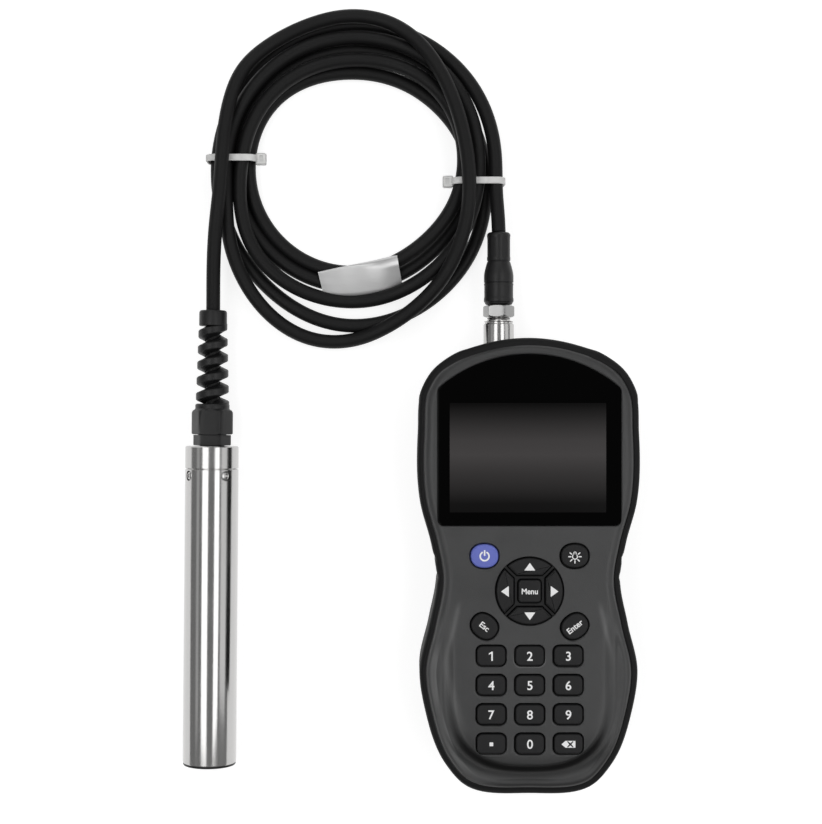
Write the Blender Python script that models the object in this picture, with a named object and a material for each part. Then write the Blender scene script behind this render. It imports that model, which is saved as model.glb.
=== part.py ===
"""Handheld water quality meter with a steel probe on a coiled cable, all laid flat on one surface.

Metres, +Z up. The origin is the middle of the footprint of the meter and the probe. The meter lies on
its back with its display up, the probe lies beside it, and the tied cable lies above them along +Y.
"""
import math

import bmesh
import bpy
from mathutils import Vector

# Clearances
GAP = 0.0003
SLIDE_GAP = 0.00035

# Layout: where the meter's middle and the probe's measuring end lie
METER_X = 0.0550
METER_Y = -0.00825
PROBE_X = -0.0934
PROBE_END_Y = -0.1024
PROBE_TURN = math.radians(-0.48)

# Meter outline, right half, from top centre to bottom centre: half width, place along the length
METER_OUTLINE = (
    (0.0, 0.1051), (0.0212, 0.1021), (0.0350, 0.0968), (0.0440, 0.0896), (0.0485, 0.0818),
    (0.0505, 0.0620), (0.0495, 0.0299), (0.0445, 0.0111), (0.0419, -0.0045), (0.0453, -0.0250),
    (0.0498, -0.0465), (0.0472, -0.0653), (0.0386, -0.0885), (0.0302, -0.0983), (0.0, -0.1028),
)
OUTLINE_STEPS = 2

# Meter shells
BUMPER_THICKNESS = 0.0030
BUMPER_BOTTOM = 0.0060
BUMPER_TOP = 0.0369
BUMPER_ROUND = 0.0024
CASE_WALL = 0.0025
CASE_ROUND = 0.0030
REAR_FLOOR = 0.0034
PARTING = 0.0250
FRONT_HEIGHT = 0.0400
FRONT_WALL = 0.0036
FRONT_ROUND = 0.0042
SEAL_WIDTH = 0.0010
SEAL_DEPTH = 0.0012

# Keypad plateau: a wedge that rises towards the bottom edge of the meter
PLATEAU_START_Y = -0.0190
PLATEAU_END_Y = -0.0888
PLATEAU_RISE = 0.0012
PLATEAU_HALF_WIDTH = 0.0340
PLATEAU_END_HALF_WIDTH = 0.0270
PLATEAU_EDGE = 0.0025

# Display
WINDOW_HALF_WIDTH = 0.0414
WINDOW_BOTTOM_Y = 0.0197
WINDOW_SIDE_Y = 0.0817
WINDOW_APEX_Y = 0.0974
WINDOW_CORNER = 0.0028
WINDOW_THICKNESS = 0.0016
WINDOW_RECESS = 0.0021
LCD_VIEW_WIDTH = 0.0708
LCD_VIEW_HEIGHT = 0.0495
LCD_CENTRE_Y = 0.05045
LCD_BORDER = 0.0035
LCD_THICKNESS = 0.0029

# Keys
KEY_TRAVEL = 0.0012
KEY_PROUD = 0.0014
KEY_FLANGE = 0.0006
KEY_FLANGE_THICKNESS = 0.0017
KEY_EDGE = 0.0006
KEY_STEM_RADIUS = 0.0020
OVAL_WIDTH = 0.0127
OVAL_HEIGHT = 0.0109
OVAL_CORNER = 0.0049
OVAL_X = 0.0204
POWER_ROW_Y = 0.0060
ENTER_ROW_Y = -0.0258
ENTER_TURN = math.radians(38)
DIGIT_WIDTH = 0.0132
DIGIT_HEIGHT = 0.0092
DIGIT_CORNER = 0.0027
DIGIT_PITCH_X = 0.0174
DIGIT_PITCH_Y = 0.0132
DIGIT_FIRST_ROW_Y = -0.0391
PAD_CENTRE_Y = -0.0099
PAD_RADIUS = 0.0152
PAD_RIB = 0.0010
MENU_SIZE = 0.0106
MENU_CORNER = 0.0018

# Boards inside the meter
MAT_THICKNESS = 0.0014
MAT_HALF_WIDTH = 0.0252
MAT_TOP_Y = 0.0130
MAT_BOTTOM_Y = -0.0830
BOARD_THICKNESS = 0.0016
BOARD_EDGE_GAP = 0.0032

# Screws that close the shells
CASE_SCREW_PLACES = ((-0.0345, 0.0845), (0.0345, 0.0845), (-0.0285, -0.0860), (0.0285, -0.0860))
BOSS_RADIUS = 0.0040
CASE_SCREW_RADIUS = 0.0015
CASE_SCREW_HEAD_RADIUS = 0.0027
CASE_SCREW_HEAD = 0.0018
CASE_SCREW_LENGTH = 0.0320

# Battery bay in the rear shell
BATTERY_LENGTH = 0.0400
BATTERY_WIDTH = 0.0520
BATTERY_THICKNESS = 0.0170
BATTERY_Y = -0.0430
BATTERY_GAP = 0.0010
BAY_LEDGE = 0.0040
COVER_SCREW_LEDGE = 0.0080
COVER_THICKNESS = 0.0021
COVER_CORNER = 0.0040
COVER_SCREW_RADIUS = 0.0013
COVER_SCREW_HEAD_RADIUS = 0.0024
COVER_SCREW_HEAD = 0.0011
COVER_SCREW_LENGTH = 0.0075
COVER_BOSS_RADIUS = 0.0032

# Connector, from the meter's top edge outwards; places along the meter's length
SOCKET_X = -0.0126
SOCKET_Z = 0.0155
SOCKET_RADIUS = 0.00715
SOCKET_SEAT_Y = 0.0996
SOCKET_END_Y = 0.11355
SOCKET_THREAD_RADIUS = 0.00575
SOCKET_THREAD_LENGTH = 0.0136
SOCKET_NECK_RADIUS = 0.00555
SOCKET_NECK_END_Y = 0.1194
SOCKET_BORE_RADIUS = 0.00445
SOCKET_BORE_DEPTH = 0.0114
SOCKET_PAD_WIDTH = 0.0180
SOCKET_PAD_THICKNESS = 0.0070
CONTACT_POST_RADIUS = 0.0016
CONTACT_POST_LENGTH = 0.0045
CONTACT_DISC = 0.0018
NUT_START_Y = 0.11555
NUT_LENGTH = 0.0062
NUT_CORNER_RADIUS = 0.00745
NUT_LIP = 0.00075
PLUG_START_Y = 0.12205
PLUG_LENGTH = 0.0331
PLUG_GRIP_RADIUS = 0.00665
PLUG_GRIP_LENGTH = 0.0148
PLUG_TAIL_RADIUS = 0.00525
PLUG_GROOVE = 0.00045
UNPLUG_STEM_RADIUS = 0.0036

# Probe, from its measuring end along its axis
PROBE_RADIUS = 0.0125
PROBE_LENGTH = 0.1494
PROBE_WALL = 0.0015
PROBE_CHAMFER = 0.0006
HEAD_LENGTH = 0.0105
HEAD_SPIGOT = 0.0145
HEAD_BORE_RADIUS = 0.0060
O_RING_PLACE = 0.0110
O_RING_WIDTH = 0.0018
O_RING_DEPTH = 0.0011
PROBE_SCREW_DROP = 0.0138
PROBE_SCREW_ANGLES = (-51.5, 38.5, 128.5, 218.5)
PROBE_SCREW_HEAD_RADIUS = 0.0020
PROBE_SCREW_HEAD = 0.0011
PROBE_SCREW_RADIUS = 0.0011
PROBE_SCREW_LENGTH = 0.0042
SENSOR_WINDOW_RECESS = 0.0005
SENSOR_WINDOW_THICKNESS = 0.0035
SENSOR_BOARD_WIDTH = 0.0160
SENSOR_BOARD_LENGTH = 0.1050

# Gland on the probe's head
GLAND_HEX_RADIUS = 0.0090
GLAND_HEX_LENGTH = 0.0048
GLAND_THREAD_RADIUS = 0.0057
GLAND_THREAD_LENGTH = 0.0085
GLAND_COLLET_RADIUS = 0.0066
GLAND_COLLET_LENGTH = 0.0044
GLAND_NUT_RADIUS = 0.00955
GLAND_NUT_LENGTH = 0.0114
GLAND_NUT_SHOULDER = 0.0033
GLAND_SEAL_LENGTH = 0.0034
GLAND_COLLAR_RADIUS = 0.0082
GLAND_COLLAR_LENGTH = 0.0030
RELIEF_LENGTH = 0.0350
RELIEF_TURNS = 5.4
RELIEF_STRIP = 0.0046
RELIEF_BORE_RADIUS = 0.0043
RELIEF_START_RADIUS = 0.0079
RELIEF_END_RADIUS = 0.0061
RELIEF_CAP_RADIUS = 0.0064
RELIEF_CAP_LENGTH = 0.0088

# Cable
CABLE_RADIUS = 0.0030
CABLE_BORE_RADIUS = 0.0035
CABLE_START = 0.0010
FLOOR_GAP = 0.00015
COIL_X = -0.0271
COIL_Y = 0.1755
COIL_HALF_WIDTH = 0.0570
COIL_HALF_HEIGHT = 0.0563
COIL_TURNS = 4.5
COIL_UPPER_TURNS = 1.75
COIL_LAYER = 0.0067
COIL_LAYER_TOP = 0.0048
COIL_SETTLE = 0.55
COIL_TIE_LIFT = 0.00155
COIL_LABEL_LIFT = 0.00120
COIL_EXIT_RISE = 0.0067
LOOP_POINTS = 24
LEAD_POINT_SPACING = 0.0135

# How far outside the coil's middle line the cable lies at each eighth of a turn, one row a turn, clockwise
# from the left tie
COIL_LANES = (
    0.0018, 0.0051, 0.0084, 0.0082, 0.0035, 0.0040, 0.0045, 0.0026,
    -0.0050, -0.0036, -0.0022, 0.0002, -0.0036, -0.0090, -0.0095, -0.0096,
    -0.0082, -0.0055, -0.0072, -0.0045, 0.0003, -0.0014, -0.0031, -0.0025,
    -0.0018, 0.0012, 0.0031, 0.0050, 0.0069, 0.0126, 0.0157, 0.0090,
    0.0066, 0.0104, 0.0155, 0.0148, 0.0114,
)

# Free stretch from the gland, once round on top of the tied loops: X, Y, height
PROBE_LEAD_ROUTE = (
    (-0.0913, 0.1274, 0.0148), (-0.0900, 0.1484, 0.0180), (-0.0876, 0.1684, 0.0190),
    (-0.0864, 0.1864, 0.0192), (-0.0842, 0.2054, 0.0176), (-0.0771, 0.2249, 0.0140),
    (-0.0658, 0.2356, 0.0108), (-0.0490, 0.2448, 0.0096), (-0.0284, 0.2500, 0.0096),
    (-0.0084, 0.2461, 0.0124), (0.0051, 0.2364, 0.0150), (0.0151, 0.2224, 0.0169),
    (0.0228, 0.2044, 0.0185), (0.0268, 0.1884, 0.0194), (0.0286, 0.1729, 0.0197),
    (0.0281, 0.1574, 0.0190), (0.0232, 0.1384, 0.0171), (0.0156, 0.1244, 0.0144),
    (0.0046, 0.1129, 0.0119), (-0.0114, 0.1022, 0.0097), (-0.0214, 0.0979, 0.0066),
    (-0.0334, 0.0959, 0.0037), (-0.0455, 0.0971, 0.0036), (-0.0559, 0.1014, 0.0052),
    (-0.0689, 0.1121, 0.0085), (-0.0791, 0.1278, 0.0102), (-0.0847, 0.1453, 0.0110),
)

# Ties and label
LEFT_TIE_Y = 0.1822
RIGHT_TIE_Y = 0.1715
TIE_WIDTH = 0.0032
TIE_THICKNESS = 0.0010
TIE_CORNER = 0.0032
TIE_HEAD_DEPTH = 0.0051
TIE_HEAD_WIDTH = 0.0054
TIE_HEAD_HEIGHT = 0.0046
TIE_HEAD_Z = 0.0092
LABEL_WALL = 0.0004
LABEL_GAP = 0.00045
LABEL_LOOP_POINTS = (16.6, 17, 18, 19, 19.3)

ROUND_SIDES = 24
CONNECTOR_SIDES = 18
SMALL_SIDES = 12
STEM_HOLE_SIDES = 8

# Names that follow from the sizes above
CASE_INSET = BUMPER_THICKNESS + GAP
CASE_INNER = CASE_INSET + CASE_WALL
FRONT_BOTTOM = PARTING + GAP
FRONT_INNER = FRONT_HEIGHT - FRONT_WALL
FLANGE_TOP = FRONT_INNER - GAP
FLANGE_BOTTOM = FLANGE_TOP - KEY_FLANGE_THICKNESS
MAT_TOP = FLANGE_BOTTOM - KEY_TRAVEL - GAP
BOARD_TOP = MAT_TOP - MAT_THICKNESS - GAP
CABLE_STEP = 2 * CABLE_RADIUS


def material(name, colour, roughness, metallic=0.0):
    """Make one Principled material with a plain colour."""
    made = bpy.data.materials.new(name)
    made.use_nodes = True
    shader = made.node_tree.nodes["Principled BSDF"]
    shader.inputs["Base Color"].default_value = (*colour, 1.0)
    shader.inputs["Roughness"].default_value = roughness
    shader.inputs["Metallic"].default_value = metallic
    return made


def smooth_curve(points, steps, closed=False):
    """Sample a smooth curve through points, with tangents weighted by the chords on either side."""
    points = [Vector(p) for p in points]
    count = len(points)
    spans = count if closed else count - 1

    def point(i):
        return points[i % count] if closed else points[min(max(i, 0), count - 1)]

    def tangent(i):
        before = (point(i) - point(i - 1)).length
        after = (point(i + 1) - point(i)).length
        if before == 0 or after == 0:
            return (point(i + 1) - point(i - 1)) / (before + after)
        slope_in = (point(i) - point(i - 1)) / before
        slope_out = (point(i + 1) - point(i)) / after
        return (slope_in * after + slope_out * before) / (before + after)

    sampled = []
    for i in range(spans):
        chord = (point(i + 1) - point(i)).length
        for step in range(steps):
            t = step / steps
            a = 2 * t ** 3 - 3 * t ** 2 + 1
            b = t ** 3 - 2 * t ** 2 + t
            c = -2 * t ** 3 + 3 * t ** 2
            d = t ** 3 - t ** 2
            sampled.append(
                a * point(i) + b * chord * tangent(i) + c * point(i + 1) + d * chord * tangent(i + 1)
            )
    if not closed:
        sampled.append(points[-1])
    return sampled


def offset(outline, distance):
    """Move a closed counterclockwise outline outwards by a distance, or inwards if it is negative."""
    moved = []
    count = len(outline)
    for i in range(count):
        before = outline[i] - outline[i - 1]
        after = outline[(i + 1) % count] - outline[i]
        first = Vector((before.y, -before.x)).normalized()
        second = Vector((after.y, -after.x)).normalized()
        moved.append(outline[i] + (first + second) * distance / (1 + first.dot(second)))
    return moved


def rounded(corners, steps=3):
    """Round the corners of a counterclockwise outline, given as x, y and corner radius."""
    outline = []
    count = len(corners)
    for i in range(count):
        place = Vector(corners[i][:2])
        radius = corners[i][2]
        if radius == 0:
            outline.append(place)
            continue
        back = (Vector(corners[i - 1][:2]) - place).normalized()
        ahead = (Vector(corners[(i + 1) % count][:2]) - place).normalized()
        half = back.angle(ahead) / 2
        centre = place + (back + ahead).normalized() * radius / math.sin(half)
        start = place + back * radius / math.tan(half) - centre
        sweep = math.pi - 2 * half
        for step in range(steps + 1):
            angle = sweep * step / steps
            turned = Vector((
                start.x * math.cos(angle) - start.y * math.sin(angle),
                start.x * math.sin(angle) + start.y * math.cos(angle),
            ))
            outline.append(centre + turned)
    return outline


def rectangle(width, height, corner, steps=2):
    """Outline of a rounded rectangle about the origin."""
    x, y = width / 2, height / 2
    return rounded(((-x, -y, corner), (x, -y, corner), (x, y, corner), (-x, y, corner)), steps)


def circle(radius, sides=ROUND_SIDES):
    """Outline of a regular polygon that stands for a circle."""
    return [
        Vector((radius * math.cos(2 * math.pi * i / sides), radius * math.sin(2 * math.pi * i / sides)))
        for i in range(sides)
    ]


def hexagon(corner_radius, sides=ROUND_SIDES):
    """Outline of a hexagon with as many points as a circle, so that the two can be lofted."""
    outline = []
    for i in range(sides):
        angle = 2 * math.pi * i / sides
        from_flat = (angle % (math.pi / 3)) - math.pi / 6
        radius = corner_radius * math.cos(math.pi / 6) / math.cos(from_flat)
        outline.append(Vector((radius * math.cos(angle), radius * math.sin(angle))))
    return outline


def turned(outline, angle):
    """Turn an outline about the origin."""
    cosine, sine = math.cos(angle), math.sin(angle)
    return [Vector((p.x * cosine - p.y * sine, p.x * sine + p.y * cosine)) for p in outline]


def moved(outline, x, y):
    """Move an outline."""
    return [p + Vector((x, y)) for p in outline]


def level(outline, z):
    """Lift an outline to a height."""
    return [Vector((p.x, p.y, z)) for p in outline]


def add_solid(bm, rings, looped=False):
    """Add one closed body through rings of equal count; looped joins the last ring to the first."""
    loops = [[bm.verts.new(p) for p in ring] for ring in rings]
    pairs = list(zip(loops, loops[1:]))
    if looped:
        pairs.append((loops[-1], loops[0]))
    count = len(loops[0])
    for low, high in pairs:
        for i in range(count):
            k = (i + 1) % count
            bm.faces.new((low[i], low[k], high[k], high[i]))
    if not looped:
        bm.faces.new(list(reversed(loops[0])))
        bm.faces.new(loops[-1])


def place_bmesh(name, bm, finish, parent=None, location=(0, 0, 0), rotation=(0, 0, 0)):
    """Turn a bmesh into a named object under its parent empty."""
    bmesh.ops.recalc_face_normals(bm, faces=bm.faces)
    mesh = bpy.data.meshes.new(name)
    bm.to_mesh(mesh)
    bm.free()
    mesh.shade_smooth()
    mesh.set_sharp_from_angle(angle=math.radians(40))
    made = bpy.data.objects.new(name, mesh)
    if finish:
        mesh.materials.append(finish)
    made.parent = parent
    made.location = location
    made.rotation_euler = rotation
    bpy.context.scene.collection.objects.link(made)
    return made


def loft(name, rings, finish, parent=None, location=(0, 0, 0), rotation=(0, 0, 0), looped=False):
    """Make one object from rings."""
    bm = bmesh.new()
    add_solid(bm, rings, looped)
    return place_bmesh(name, bm, finish, parent, location, rotation)


def tool(name, bodies, parent):
    """Make a guide object from several ring stacks, to cut or join another object with."""
    bm = bmesh.new()
    for rings in bodies:
        add_solid(bm, rings)
    made = place_bmesh(name, bm, None, parent)
    made.hide_render = True
    made.display_type = "WIRE"
    return made


def combine(target, guide, operation):
    """Cut or join an object with a guide."""
    modifier = target.modifiers.new(guide.name, "BOOLEAN")
    modifier.operation = operation
    modifier.solver = "EXACT"
    modifier.object = guide


def prism(outline, bottom, top):
    """Rings of a straight prism."""
    return [level(outline, bottom), level(outline, top)]


def along_y(x, z, profile, sides=CONNECTOR_SIDES):
    """Rings of a turned piece whose axis runs along Y: radius and place along Y."""
    return [[Vector((x + p.x, y, z + p.y)) for p in circle(radius, sides)] for radius, y in profile]


def empty(name, location, rotation=(0, 0, 0)):
    """Make an empty that carries a group of pieces."""
    made = bpy.data.objects.new(name, None)
    made.location = location
    made.rotation_euler = rotation
    bpy.context.scene.collection.objects.link(made)
    return made


def meter_outline():
    """Whole outline of the meter, counterclockwise from the top centre."""
    left = [(-x, y) for x, y in METER_OUTLINE]
    right = [(x, y) for x, y in reversed(METER_OUTLINE[1:-1])]
    return smooth_curve(left + right, OUTLINE_STEPS, closed=True)


def window_outline(margin):
    """Display window: straight sides and bottom, arched top, grown by a margin."""
    half = WINDOW_HALF_WIDTH + margin
    bottom = WINDOW_BOTTOM_Y - margin
    rise = WINDOW_APEX_Y - WINDOW_SIDE_Y
    radius = (WINDOW_HALF_WIDTH ** 2 + rise ** 2) / (2 * rise)
    centre_y = WINDOW_APEX_Y - radius
    radius += margin
    reach = math.asin(half / radius)
    shoulder = 1.6 * WINDOW_CORNER
    corners = [(-half, bottom, WINDOW_CORNER), (half, bottom, WINDOW_CORNER)]
    arch_steps = 12
    for step in range(arch_steps + 1):
        angle = reach * (1 - 2 * step / arch_steps)
        corner = shoulder if step in (0, arch_steps) else 0
        corners.append((radius * math.sin(angle), centre_y + radius * math.cos(angle), corner))
    return rounded(corners)


def surface_height(y):
    """Height of the front face at a place along the meter, on the keypad plateau where it rises."""
    rise = (PLATEAU_START_Y - y) / (PLATEAU_START_Y - PLATEAU_END_Y)
    return FRONT_HEIGHT + PLATEAU_RISE * max(0.0, rise)


def pad_key_outline():
    """Upper key of the direction pad: a quarter of the disc outside the menu key, split by ribs."""
    rib = PAD_RIB + 2 * SLIDE_GAP
    inner = MENU_SIZE / 2 + rib
    lean = rib / math.sqrt(2)
    reach = math.acos(lean / math.sqrt(2) / PAD_RADIUS) - math.pi / 4
    outline = [Vector((-(inner - lean), inner)), Vector((inner - lean, inner))]
    arc_steps = 6
    for step in range(arc_steps + 1):
        angle = reach * (1 - 2 * step / arc_steps)
        outline.append(Vector((PAD_RADIUS * math.sin(angle), PAD_RADIUS * math.cos(angle))))
    return outline


def key_table():
    """List each key's name, its outline about its own centre, that centre and its finish."""
    oval = rectangle(OVAL_WIDTH, OVAL_HEIGHT, OVAL_CORNER, 3)
    digit = rectangle(DIGIT_WIDTH, DIGIT_HEIGHT, DIGIT_CORNER)
    keys = [
        ("power_key", oval, (-OVAL_X, POWER_ROW_Y), "power"),
        ("light_key", oval, (OVAL_X, POWER_ROW_Y), "key"),
        ("escape_key", turned(oval, -ENTER_TURN), (-OVAL_X, ENTER_ROW_Y), "key"),
        ("enter_key", turned(oval, ENTER_TURN), (OVAL_X, ENTER_ROW_Y), "key"),
        ("menu_key", rectangle(MENU_SIZE, MENU_SIZE, MENU_CORNER), (0.0, PAD_CENTRE_Y), "key"),
    ]
    wedge = pad_key_outline()
    middle = (PAD_RADIUS + wedge[0].y) / 2
    for quarter, name in enumerate(("up_key", "left_key", "down_key", "right_key")):
        angle = quarter * math.pi / 2
        shape = turned(moved(wedge, 0, -middle), angle)
        place = (-middle * math.sin(angle), PAD_CENTRE_Y + middle * math.cos(angle))
        keys.append((name, shape, place, "key"))
    rows = (
        ("digit_1_key", "digit_2_key", "digit_3_key"), ("digit_4_key", "digit_5_key", "digit_6_key"),
        ("digit_7_key", "digit_8_key", "digit_9_key"), ("point_key", "digit_0_key", "delete_key"),
    )
    for row, names in enumerate(rows):
        for column, name in enumerate(names):
            place = ((column - 1) * DIGIT_PITCH_X, DIGIT_FIRST_ROW_Y - row * DIGIT_PITCH_Y)
            keys.append((name, digit, place, "key"))
    return keys


def make_rear_case(meter, finish):
    """Back shell: a tray with a seal groove, screw bosses, the battery bay and the socket's hole."""
    outline = meter_outline()
    groove = (CASE_WALL - SEAL_WIDTH) / 2 - GAP
    levels = (
        (CASE_INSET + CASE_ROUND, 0.0), (CASE_INSET + CASE_ROUND * 0.3, CASE_ROUND * 0.3),
        (CASE_INSET, CASE_ROUND), (CASE_INSET, PARTING), (CASE_INSET + groove, PARTING),
        (CASE_INSET + groove, PARTING - SEAL_DEPTH), (CASE_INNER - groove, PARTING - SEAL_DEPTH),
        (CASE_INNER - groove, PARTING), (CASE_INNER, PARTING), (CASE_INNER, REAR_FLOOR),
    )
    case = loft("rear_case", [level(offset(outline, -inset), z) for inset, z in levels], finish, meter)

    sunk = REAR_FLOOR / 2
    bosses = [
        prism(moved(circle(BOSS_RADIUS, SMALL_SIDES), x, y), sunk, PARTING - GAP)
        for x, y in CASE_SCREW_PLACES
    ]
    cover_x, cover_y = cover_screw_place()
    cover_boss = moved(circle(COVER_BOSS_RADIUS, SMALL_SIDES), cover_x, cover_y)
    bosses.append(prism(cover_boss, sunk + COVER_THICKNESS / 2, COVER_THICKNESS + COVER_SCREW_LENGTH))
    combine(case, tool("rear_case_bosses", bosses, meter), "UNION")

    pad = moved(rectangle(SOCKET_PAD_WIDTH, SOCKET_PAD_THICKNESS, CASE_ROUND),
                SOCKET_X, SOCKET_SEAT_Y - GAP / 3 - SOCKET_PAD_THICKNESS / 2)
    combine(case, tool("socket_pad", [prism(pad, sunk, PARTING - SEAL_DEPTH - GAP)], meter), "UNION")
    spot = along_y(SOCKET_X, SOCKET_Z, (
        (SOCKET_RADIUS + SLIDE_GAP, SOCKET_SEAT_Y - GAP), (SOCKET_RADIUS + SLIDE_GAP, SOCKET_END_Y)))
    combine(case, tool("socket_spot_face", [spot], meter), "DIFFERENCE")

    drill_start = SOCKET_SEAT_Y - SOCKET_THREAD_LENGTH
    holes = [along_y(SOCKET_X, SOCKET_Z, (
        (SOCKET_THREAD_RADIUS + SLIDE_GAP, drill_start), (SOCKET_THREAD_RADIUS + SLIDE_GAP, SOCKET_END_Y)))]
    bore = circle(CASE_SCREW_RADIUS + SLIDE_GAP, SMALL_SIDES)
    head = circle(CASE_SCREW_HEAD_RADIUS + SLIDE_GAP, SMALL_SIDES)
    head_top = CASE_SCREW_HEAD + 2 * GAP
    for x, y in CASE_SCREW_PLACES:
        holes.append([
            level(moved(head, x, y), -CASE_ROUND), level(moved(head, x, y), head_top),
            level(moved(bore, x, y), head_top), level(moved(bore, x, y), FRONT_HEIGHT),
        ])
    combine(case, tool("rear_case_holes", holes, meter), "DIFFERENCE")

    recess = moved(offset(cover_outline(), GAP), 0, cover_centre_y())
    combine(case, tool("cover_recess", [prism(recess, -CASE_ROUND, COVER_THICKNESS + GAP)], meter), "DIFFERENCE")
    bay = moved(rectangle(BATTERY_WIDTH + 2 * BATTERY_GAP, BATTERY_LENGTH + 2 * BATTERY_GAP, COVER_CORNER / 2),
                0, BATTERY_Y)
    pilot = moved(circle(COVER_SCREW_RADIUS + SLIDE_GAP, SMALL_SIDES), cover_x, cover_y)
    openings = [prism(bay, -CASE_ROUND, 2 * REAR_FLOOR), prism(pilot, -CASE_ROUND, PARTING)]
    combine(case, tool("battery_bay", openings, meter), "DIFFERENCE")


def cover_outline():
    """Battery cover about its own middle, wider than the bay by a ledge all round."""
    width = BATTERY_WIDTH + 2 * (BATTERY_GAP + BAY_LEDGE)
    length = BATTERY_LENGTH + 2 * BATTERY_GAP + BAY_LEDGE + COVER_SCREW_LEDGE
    return rectangle(width, length, COVER_CORNER)


def cover_centre_y():
    """Middle of the battery cover, which reaches further past the bay at its screw end."""
    return BATTERY_Y + (COVER_SCREW_LEDGE - BAY_LEDGE) / 2


def cover_screw_place():
    """Middle of the cover's screw, on the wide ledge."""
    return 0.0, BATTERY_Y + BATTERY_LENGTH / 2 + BATTERY_GAP + COVER_SCREW_LEDGE / 2


def make_front_case(meter, finish):
    """Front shell: a lid with the keypad plateau, the window's recess and a hole for each key."""
    outline = meter_outline()
    levels = (
        (CASE_INSET + FRONT_ROUND, FRONT_HEIGHT), (CASE_INSET + FRONT_ROUND * 0.5, FRONT_HEIGHT - 0.05 * FRONT_ROUND),
        (CASE_INSET + FRONT_ROUND * 0.17, FRONT_HEIGHT - 0.35 * FRONT_ROUND),
        (CASE_INSET, FRONT_HEIGHT - 0.85 * FRONT_ROUND), (CASE_INSET, FRONT_BOTTOM),
        (CASE_INNER, FRONT_BOTTOM), (CASE_INNER, FRONT_INNER),
    )
    case = loft("front_case", [level(offset(outline, -inset), z) for inset, z in levels], finish, meter)

    plateau = rounded((
        (-PLATEAU_END_HALF_WIDTH, PLATEAU_END_Y, 0.016), (PLATEAU_END_HALF_WIDTH, PLATEAU_END_Y, 0.016),
        (PLATEAU_HALF_WIDTH, (PLATEAU_START_Y + PLATEAU_END_Y) / 2, 0.03), (PLATEAU_HALF_WIDTH, PLATEAU_START_Y, 0),
        (-PLATEAU_HALF_WIDTH, PLATEAU_START_Y, 0), (-PLATEAU_HALF_WIDTH, (PLATEAU_START_Y + PLATEAU_END_Y) / 2, 0.03),
    ), 4)
    top = offset(plateau, -PLATEAU_EDGE)
    under = FRONT_HEIGHT - FRONT_WALL / 2
    wedge = [
        level(plateau, under), level(plateau, FRONT_HEIGHT - PLATEAU_RISE / 4),
        [Vector((p.x, p.y, surface_height(p.y) - (0.0002 if p.y > PLATEAU_START_Y - 2 * PLATEAU_EDGE else 0))) for p in top],
    ]
    combine(case, tool("keypad_plateau", [wedge], meter), "UNION")
    bosses = [
        prism(moved(circle(BOSS_RADIUS, SMALL_SIDES), x, y), FRONT_BOTTOM, FRONT_INNER + FRONT_WALL / 4)
        for x, y in CASE_SCREW_PLACES
    ]
    combine(case, tool("front_case_bosses", bosses, meter), "UNION")

    above = FRONT_HEIGHT + 4 * PLATEAU_RISE
    holes = [prism(moved(offset(shape, SLIDE_GAP), *place), FRONT_INNER - CASE_WALL, above)
             for _, shape, place, _ in key_table()]
    holes.append(prism(window_outline(GAP), FRONT_HEIGHT - WINDOW_RECESS, above))
    pilot_top = CASE_SCREW_LENGTH + 2 * GAP
    pilot = circle(CASE_SCREW_RADIUS + SLIDE_GAP, SMALL_SIDES)
    holes += [prism(moved(pilot, x, y), FRONT_BOTTOM - CASE_WALL, pilot_top) for x, y in CASE_SCREW_PLACES]
    combine(case, tool("front_case_holes", holes, meter), "DIFFERENCE")
    view = moved(rectangle(LCD_VIEW_WIDTH, LCD_VIEW_HEIGHT, WINDOW_CORNER / 2), 0, LCD_CENTRE_Y)
    combine(case, tool("display_opening", [prism(view, FRONT_INNER - CASE_WALL, above)], meter), "DIFFERENCE")


def make_bumper(meter, finish):
    """Rubber ring round both shells, with the socket's hole through its top wall."""
    outline = meter_outline()
    levels = (
        (BUMPER_THICKNESS, BUMPER_BOTTOM), (BUMPER_ROUND / 2, BUMPER_BOTTOM + BUMPER_ROUND / 8),
        (0.0, BUMPER_BOTTOM + BUMPER_ROUND), (0.0, BUMPER_TOP - BUMPER_ROUND),
        (BUMPER_ROUND / 2, BUMPER_TOP - BUMPER_ROUND / 8), (BUMPER_THICKNESS, BUMPER_TOP),
    )
    rings = [level(offset(outline, -inset), z) for inset, z in levels]
    bumper = loft("bumper", rings, finish, meter, looped=True)
    radius = SOCKET_RADIUS + SLIDE_GAP
    hole = along_y(SOCKET_X, SOCKET_Z, ((radius, SOCKET_SEAT_Y - CASE_WALL), (radius, SOCKET_END_Y)))
    combine(bumper, tool("socket_hole", [hole], meter), "DIFFERENCE")


def make_case_seal(meter, finish):
    """Cord seal that lies in the rear shell's groove under the front shell's rim."""
    outline = meter_outline()
    middle = (CASE_INSET + CASE_INNER) / 2
    low = PARTING - SEAL_DEPTH + GAP
    corners = (
        (middle - SEAL_WIDTH / 2, low), (middle - SEAL_WIDTH / 2, PARTING),
        (middle + SEAL_WIDTH / 2, PARTING), (middle + SEAL_WIDTH / 2, low),
    )
    rings = [level(offset(outline, -inset), z) for inset, z in corners]
    loft("case_seal", rings, finish, meter, looped=True)


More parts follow.
